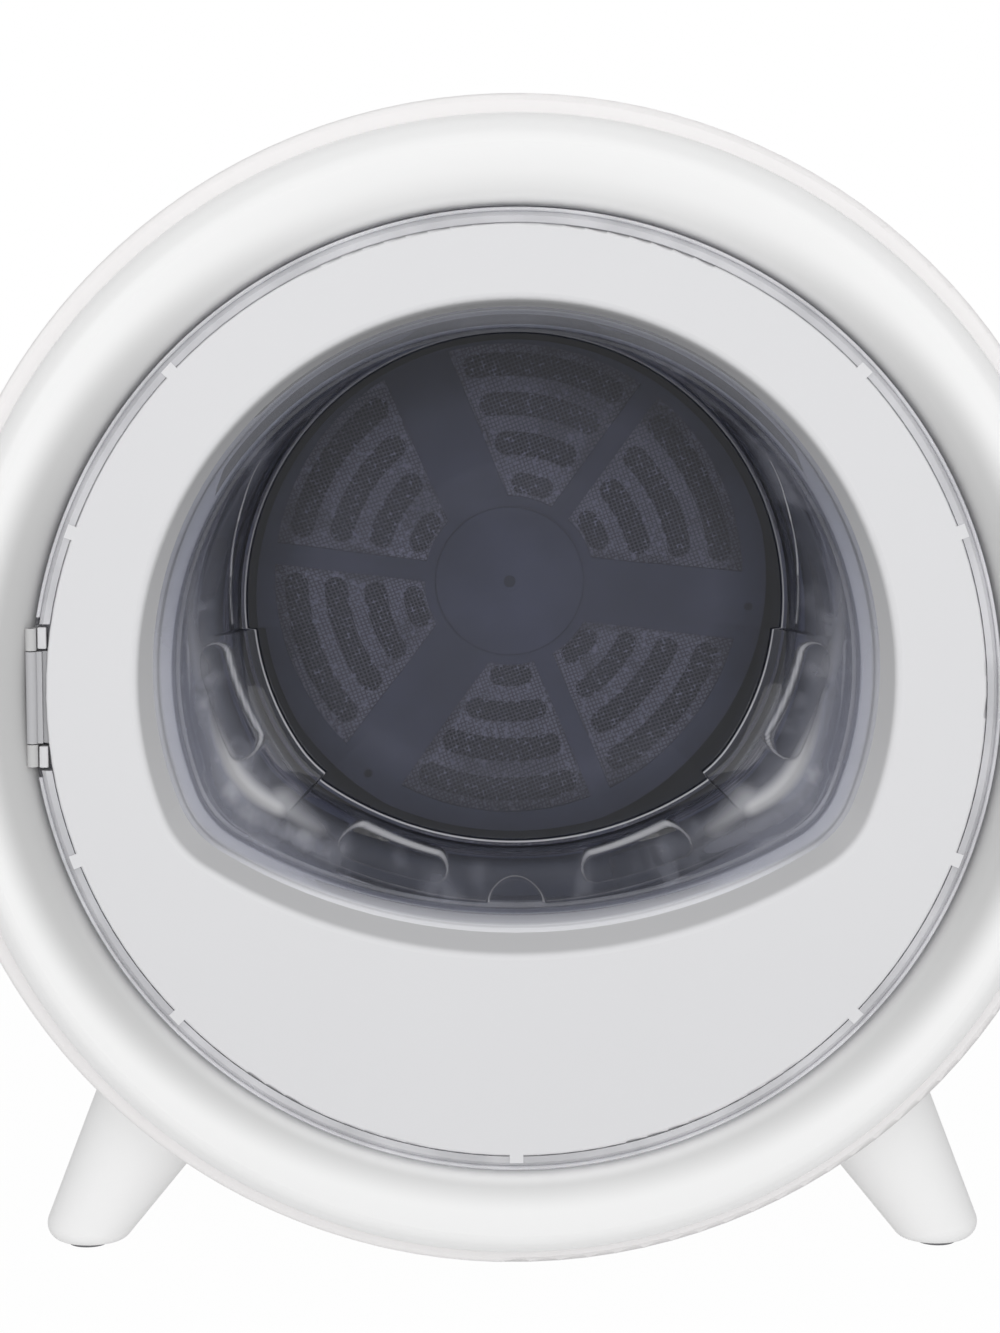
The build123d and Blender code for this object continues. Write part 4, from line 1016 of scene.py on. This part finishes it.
    def column(self, angle: float) -> tuple[list[tuple[float, ...]], list[tuple[float, ...]]]:
        """Place the bowl's closed section in one direction.

        Args:
            angle: Direction in degrees.

        Returns:
            The section's points in metres, and the edge and shade marks of each.
        """
        edge = self.flange_reach(angle)
        inner = self.inside(angle)
        profile = [(edge, self.flange_front)] + [row[:2] for row in inner]
        profile += self.outside(angle) + [(edge, self.flange_back)]
        blank = [(0.0, 0.0)] * (len(profile) - len(inner) - 1)
        marks = [(0.0, 0.0)] + [row[2:] for row in inner] + blank
        turn = math.radians(angle)
        centre = AXIS_HEIGHT + self.centre_rise
        points = [
            (radius * math.sin(turn) * MM, y * MM, (centre + radius * math.cos(turn)) * MM)
            for radius, y in profile
        ]
        return points, marks

    def faces(self, columns: int, rows: int) -> list[tuple[int, ...]]:
        """Join the columns, and close the base at its middle, inside and outside.

        Args:
            columns: How many columns there are.
            rows: How many points each of them has.

        Returns:
            The faces, as numbers of points.
        """
        middle = len(self.rim) + self.wall_rows + len(self.foot) + len(self.base_rows)
        joined = []
        for column in range(columns):
            here = column * rows
            after = (column + 1) % columns * rows
            for row in range(rows):
                if row != middle:
                    onward = (row + 1) % rows
                    joined.append((here + row, after + row, after + onward, here + onward))
        joined.append(tuple(column * rows + middle for column in reversed(range(columns))))
        joined.append(tuple(column * rows + middle + 1 for column in range(columns)))
        return joined

    def build(self, finish: bpy.types.Material) -> bpy.types.Object:
        """Make the bowl.

        Args:
            finish: Its material.

        Returns:
            The object.
        """
        columns = [self.column(angle) for angle in self.angles()]
        points = [point for places, _ in columns for point in places]
        marks = [pair for _, pairs in columns for pair in pairs]
        mesh = bpy.data.meshes.new("lens_bowl")
        mesh.from_pydata(points, [], self.faces(len(columns), len(columns[0][0])))
        for place, name in enumerate(("edge", "shade")):
            layer = mesh.attributes.new(name, "FLOAT", "POINT")
            layer.data.foreach_set("value", [row[place] for row in marks])
        bowl = bpy.data.objects.new("lens_bowl", mesh)
        bpy.context.scene.collection.objects.link(bowl)
        bpy.ops.object.select_all(action="DESELECT")
        bpy.context.view_layer.objects.active = bowl
        bowl.select_set(True)
        bpy.ops.object.mode_set(mode="EDIT")
        bpy.ops.mesh.select_all(action="SELECT")
        bpy.ops.mesh.normals_make_consistent(inside=False)
        bpy.ops.object.mode_set(mode="OBJECT")
        bpy.ops.object.shade_smooth_by_angle(angle=math.radians(50))
        bowl.data.materials.append(finish)
        bowl.select_set(False)
        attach(bowl, "door")
        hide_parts("door_lens")
        return bowl


# The door's tabs beside the hinge


def block(middle: Sequence[float], size: Sequence[float]) -> bpy.types.Object:
    """Make a plain block.

    Args:
        middle: Its middle, in millimetres.
        size: Its sides, in millimetres.

    Returns:
        The object, active and the only one selected.
    """
    bpy.ops.object.select_all(action="DESELECT")
    bpy.ops.mesh.primitive_cube_add(size=1.0, location=[place * MM for place in middle])
    made = bpy.context.object
    made.scale = [side * MM for side in size]
    bpy.ops.object.transform_apply(location=True, rotation=False, scale=True)
    return made


@dataclass(frozen=True)
class HingeTabs:
    """Two tabs of the door that fill its rim's notch beside the hinge lugs."""

    left: float = -171.6
    right: float = -168.4
    front: float = -157.6
    back: float = -153.2
    inner: float = 17.6
    outer: float = 25.4
    rounding: float = 0.45

    def build(self, finish: bpy.types.Material) -> list[bpy.types.Object]:
        """Make both tabs.

        Args:
            finish: Their material.

        Returns:
            The objects.
        """
        middle = (self.inner + self.outer) / 2
        lower = block(
            ((self.left + self.right) / 2, (self.front + self.back) / 2, AXIS_HEIGHT - middle),
            (self.right - self.left, self.back - self.front, self.outer - self.inner),
        )
        lower.name = "hinge_tab_lower"
        rounded = lower.modifiers.new("rounding", "BEVEL")
        rounded.width = self.rounding * MM
        rounded.segments = 3
        bpy.ops.object.modifier_apply(modifier="rounding")
        bpy.ops.object.shade_smooth_by_angle(angle=math.radians(40))
        lower.data.materials.append(finish)
        lower.select_set(False)
        upper = lower.copy()
        upper.data = lower.data.copy()
        upper.data.transform(Matrix.Translation((0.0, 0.0, 2 * middle * MM)))
        upper.name = "hinge_tab_upper"
        bpy.context.scene.collection.objects.link(upper)
        for tab in (lower, upper):
            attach(tab, "door")
        return [lower, upper]


# The bead round the door's rim


@dataclass(frozen=True)
class RimBead:
    """A thin clear bead round the door's rim, which narrows the gap to the bezel."""

    inner: float = 173.05
    outer: float = 174.5
    front: float = -157.3
    back: float = -154.7
    hinge_x: float = -170.0
    hinge_half: float = 29.0
    hinge_reach: float = 20.0
    rounds: int = 256
    turns: int = 12

    def build(self, finish: bpy.types.Material) -> bpy.types.Object:
        """Make the bead, open where the hinge is.

        Args:
            finish: Its material.

        Returns:
            The object.
        """
        bpy.ops.object.select_all(action="DESELECT")
        bpy.ops.mesh.primitive_torus_add(
            major_radius=(self.inner + self.outer) / 2 * MM,
            minor_radius=(self.outer - self.inner) / 2 * MM,
            major_segments=self.rounds,
            minor_segments=self.turns,
            location=(0.0, (self.front + self.back) / 2 * MM, AXIS_HEIGHT * MM),
            rotation=(math.pi / 2, 0.0, 0.0),
        )
        bead = bpy.context.object
        bead.name = "rim_bead"
        bead.scale = (1.0, 1.0, (self.back - self.front) / (self.outer - self.inner))
        bpy.ops.object.transform_apply(location=True, rotation=True, scale=True)
        opening = block(
            (self.hinge_x, self.front, AXIS_HEIGHT),
            (self.hinge_reach, self.hinge_reach, 2 * self.hinge_half),
        )
        opening.select_set(False)
        bpy.context.view_layer.objects.active = bead
        bead.select_set(True)
        cut = bead.modifiers.new("hinge_opening", "BOOLEAN")
        cut.operation = "DIFFERENCE"
        cut.object = opening
        bpy.ops.object.modifier_apply(modifier="hinge_opening")
        bpy.data.meshes.remove(opening.data)
        bpy.ops.object.shade_smooth_by_angle(angle=math.radians(40))
        bead.data.materials.clear()
        bead.data.materials.append(finish)
        bead.select_set(False)
        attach(bead, "door")
        return bead


# Studio


@dataclass
class Studio:
    """Pale floor, soft lamps and the camera at the photograph's angle."""

    aim: tuple[float, float, float] = (-0.0059, -0.140, 0.244)
    distance: float = 1.2
    elevation: float = 7.0
    azimuth: float = -0.47
    focal_pixels: float = 3298.0
    dome: float = 0.55
    gloss_dome: float = 0.6
    front_lamp: float = 29.5
    top_lamp: float = 6.0
    card_glow: float = 1.6
    floor_glow: float = 0.35
    floor_half: float = 4.0

    def camera(self) -> None:
        """Make the camera."""
        lens = bpy.data.cameras.new("camera")
        lens.sensor_fit = "HORIZONTAL"
        lens.sensor_width = SENSOR_WIDTH
        lens.lens = self.focal_pixels / IMAGE_WIDTH * SENSOR_WIDTH
        lens.clip_end = 50.0
        camera = bpy.data.objects.new("camera", lens)
        bpy.context.scene.collection.objects.link(camera)
        tilt = math.radians(self.elevation)
        turn = math.radians(self.azimuth)
        away = Vector((math.sin(turn) * math.cos(tilt), -math.cos(turn) * math.cos(tilt), math.sin(tilt)))
        camera.location = Vector(self.aim) + self.distance * away
        camera.rotation_euler = (math.radians(90.0 - self.elevation), 0, turn)
        bpy.context.scene.camera = camera

    def lamp(
        self, name: str, place: Sequence[float], size: float, power: float, in_gloss: bool = True
    ) -> None:
        """Make a soft square lamp that points at the object.

        Args:
            name: The lamp's name.
            place: Where it stands.
            size: Its side, in metres.
            power: Its power in watts.
            in_gloss: Whether reflections show it.
        """
        data = bpy.data.lights.new(name, "AREA")
        data.shape = "SQUARE"
        data.size = size
        data.energy = power
        lamp = bpy.data.objects.new(name, data)
        bpy.context.scene.collection.objects.link(lamp)
        lamp.location = place
        towards = Vector(self.aim) - Vector(place)
        lamp.rotation_euler = towards.to_track_quat("-Z", "Y").to_euler()
        lamp.visible_glossy = in_gloss
        lamp.visible_transmission = in_gloss

    def world(self) -> None:
        """Make the surroundings: white to the camera and through glass, softer for gloss and light."""
        world = bpy.data.worlds.new("surroundings")
        bpy.context.scene.world = world
        board = Board(world)
        seen, gloss = board.rays()
        plain = gloss * (self.gloss_dome - self.dome) + self.dome
        light = board.node("ShaderNodeBackground", {}, {
            "Color": WHITE, "Strength": plain + seen * (1 - plain),
        })
        board.node("ShaderNodeOutputWorld", {}, {"Surface": light.outputs[0]})

    def floor(self) -> None:
        """Make the pale floor, which keeps the object's shadow."""
        bpy.ops.mesh.primitive_plane_add(size=2 * self.floor_half)
        floor = bpy.context.object
        floor.name = "floor"
        board = Board.of_material("pale_floor")
        seen, gloss = board.rays()
        speckle = board.noise(30.0).step(*CLOUDY)
        plain = board.node("ShaderNodeBsdfDiffuse", {}, {
            "Color": board.mix_colour(speckle, (0.82, 0.82, 0.82), (0.80, 0.80, 0.80)),
        })
        mixed = board.node("ShaderNodeMixShader", {}, {
            0: seen.largest(self.floor_glow) * 0.98, 1: plain.outputs[0], 2: board.glow(1.0).outputs[0],
        })
        mixed = board.node("ShaderNodeMixShader", {}, {
            0: gloss, 1: mixed.outputs[0], 2: board.glow(self.gloss_dome).outputs[0],
        })
        floor.data.materials.append(board.finish(mixed))

    def card(self, name: str, place: Sequence[float], size: Pair, strength: float) -> None:
        """Make a glowing card that only reflections show.

        Args:
            name: The card's name.
            place: Where its middle stands.
            size: Its width and height, in metres.
            strength: How brightly it glows; 1 is white.
        """
        bpy.ops.object.select_all(action="DESELECT")
        bpy.ops.mesh.primitive_plane_add(size=1.0)
        card = bpy.context.object
        card.name = name
        towards = Vector(self.aim) - Vector(place)
        card.scale = (size[0], size[1], 1.0)
        card.rotation_euler = towards.to_track_quat("Z", "Y").to_euler()
        card.location = place
        board = Board.of_material(name)
        card.data.materials.append(board.finish(board.glow(strength)))
        card.visible_camera = False
        card.visible_diffuse = False
        card.visible_transmission = False
        card.visible_shadow = False

    def build(self) -> None:
        """Make the whole studio."""
        self.camera()
        self.world()
        self.floor()
        self.lamp("front_lamp", (0.0, -2.6, 0.6), 1.6, self.front_lamp, in_gloss=False)
        self.lamp("top_lamp", (0.0, -0.9, 2.4), 1.6, self.top_lamp)
        for side, side_name in ((-1, "left"), (1, "right")):
            self.card(f"{side_name}_card", (1.5 * side, -1.0, 1.0), (1.3, 1.0), self.card_glow)
        bpy.context.scene.view_settings.view_transform = "Standard"


# Finishes, each named after its material slot

FINISHES: tuple[Any, ...] = (
    MouldedPlastic("shell_white", (0.84, 0.825, 0.825), 0.38, 0.015),
    # The bezel: painted shade darkens it towards the door, most at the sides and least at the top; the last
    # one takes part of it off again next to the door at the top and bottom.
    MouldedPlastic(
        "white_gloss", (0.97, 0.97, 0.97), 0.45, 0.006, texture_depth_mm=0.001,
        painted_shades=(
            PaintedShade(Across.RADIUS, 0.206, 0.200, 0.89, 0.87, 0.87),
            PaintedShade(Across.RADIUS, 0.1965, 0.1845, 0.51, 0.82, 0.67, lift=0.007),
            PaintedShade(Across.RADIUS, 0.1805, 0.1765, 0.52, 0.9, 0.95),
        ),
    ),
    MouldedPlastic("leg_white", (0.92, 0.92, 0.92), 0.42, 0.01),
    # Painted shade on the window's lip, darkest at the top.
    MouldedPlastic(
        "door_white", (0.69, 0.69, 0.705), 0.38, 0.008, texture_depth_mm=0.001,
        painted_shades=(PaintedShade(Across.DEPTH, -0.1580, -0.1565, 0.60, 0.30, 0.76),),
    ),
    TintedPlastic(
        "clear_rim", (0.85, 0.85, 0.88), (0.85, 0.85, 0.88), roughness=0.08, haze=0.6, far_haze=0.6,
        haze_colour=(0.60, 0.60, 0.645),
    ),
    # The bowl: painted highlights on the ledge, streaks and lower corners, and painted shade at the top.
    TintedPlastic(
        "smoked_lens", (0.58, 0.60, 0.68), (0.41, 0.425, 0.53), haze=0.15, far_haze=0.015,
        ledge_painted_highlight=0.75, streak_haze_and_sheen=0.4, corner_painted_highlight=0.2, upper_painted_shade_share=0.55,
        haze_colour=(0.52, 0.53, 0.60),
        shadow_tint=(0.86, 0.87, 0.91),
    ),
    # Painted shade: from the middle of the casing backwards it darkens to near black, where shade falls
    # deep inside.
    MouldedPlastic(
        "inner_plastic", (0.80, 0.80, 0.83), 0.5, painted_shades=(PaintedShade(Across.DEPTH, 0.0, 0.07, 0.04, 0.04, 0.04),)
    ),
    PressedFelt("felt", (0.42, 0.41, 0.40)),
    SoftRubber("grey_rubber", (0.16, 0.16, 0.17)),
    BrushedMetal("screw_steel", (0.20, 0.205, 0.22), 0.35),
    BrushedMetal("magnet_steel", (0.25, 0.25, 0.26), 0.4),
    MouldedPlastic("hinge_grey", (0.46, 0.46, 0.475), 0.4),
    MouldedPlastic("black_plastic", (0.02, 0.02, 0.022), 0.45),
    BrushedMetal("contact_brass", (0.72, 0.60, 0.34), 0.25),
    BrushedMetal("drum_steel", (0.22, 0.23, 0.25), 0.42, Grain.ALONG_X),
    MouldedPlastic("drum_back_grey", (0.80, 0.77, 0.80), 0.5),
    WovenWire("mesh_steel", (0.36, 0.35, 0.37)),
    MouldedPlastic(
        "retainer_grey", (0.265, 0.28, 0.36), 0.38, 0.4, 0.0, texture_depth_mm=0.0008, marks_scale=16.0
    ),
    MouldedPlastic("lifter_grey", (0.20, 0.21, 0.24), 0.4),
    BrushedMetal("bearing_bronze", (0.52, 0.38, 0.22), 0.35),
    BrushedMetal("duct_metal", (0.10, 0.10, 0.105), 0.45),
    BrushedMetal("heater_fins", (0.66, 0.66, 0.66), 0.3),
    MouldedPlastic("motor_metal", (0.05, 0.053, 0.06), 0.35),
    SoftRubber("belt_rubber", (0.02, 0.02, 0.02)),
    MouldedPlastic("wheel_plastic", (0.06, 0.063, 0.07), 0.45),
    MouldedPlastic("panel_black", (0.015, 0.015, 0.018), 0.16, 0.02, 0.5),
    MouldedPlastic("display_dark", (0.006, 0.008, 0.012), 0.08, 0.0, 0.6),
    MouldedPlastic("button_white", (0.80, 0.80, 0.81), 0.35),
    CircuitBoard("board_green", (0.02, 0.16, 0.06)),
)


def dress(frame: dict[str, Any], built: dict[str, bpy.types.Material]) -> None:
    """Give every carried-over piece its finish.

    Args:
        frame: What the frame loader returned.
        built: The finishes by material slot.
    """
    for row in frame["record"]["subparts"]:
        piece = frame["nodes"][row["node"]]
        piece.data.materials.clear()
        piece.data.materials.append(built[row["material_slot"]])
        LOG.info("dressed %s in %s", row["node"], row["material_slot"])


def main() -> None:
    """Build the object and its studio."""
    logging.basicConfig(level=logging.INFO, format="%(name)s: %(message)s")
    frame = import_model()
    bpy.ops.object.select_all(action="DESELECT")
    built = {finish.name: finish.build() for finish in FINISHES}
    dress(frame, built)
    made = [Bowl().build(built["smoked_lens"])]
    made += HingeTabs().build(built["door_white"])
    made.append(RimBead().build(built["clear_rim"]))
    for piece in made:
        LOG.info("made %s with %d faces", piece.name, len(piece.data.polygons))
    Studio().build()
    LOG.info("made the floor, lamps, cards and camera")


if __name__ == "__main__":
    main()
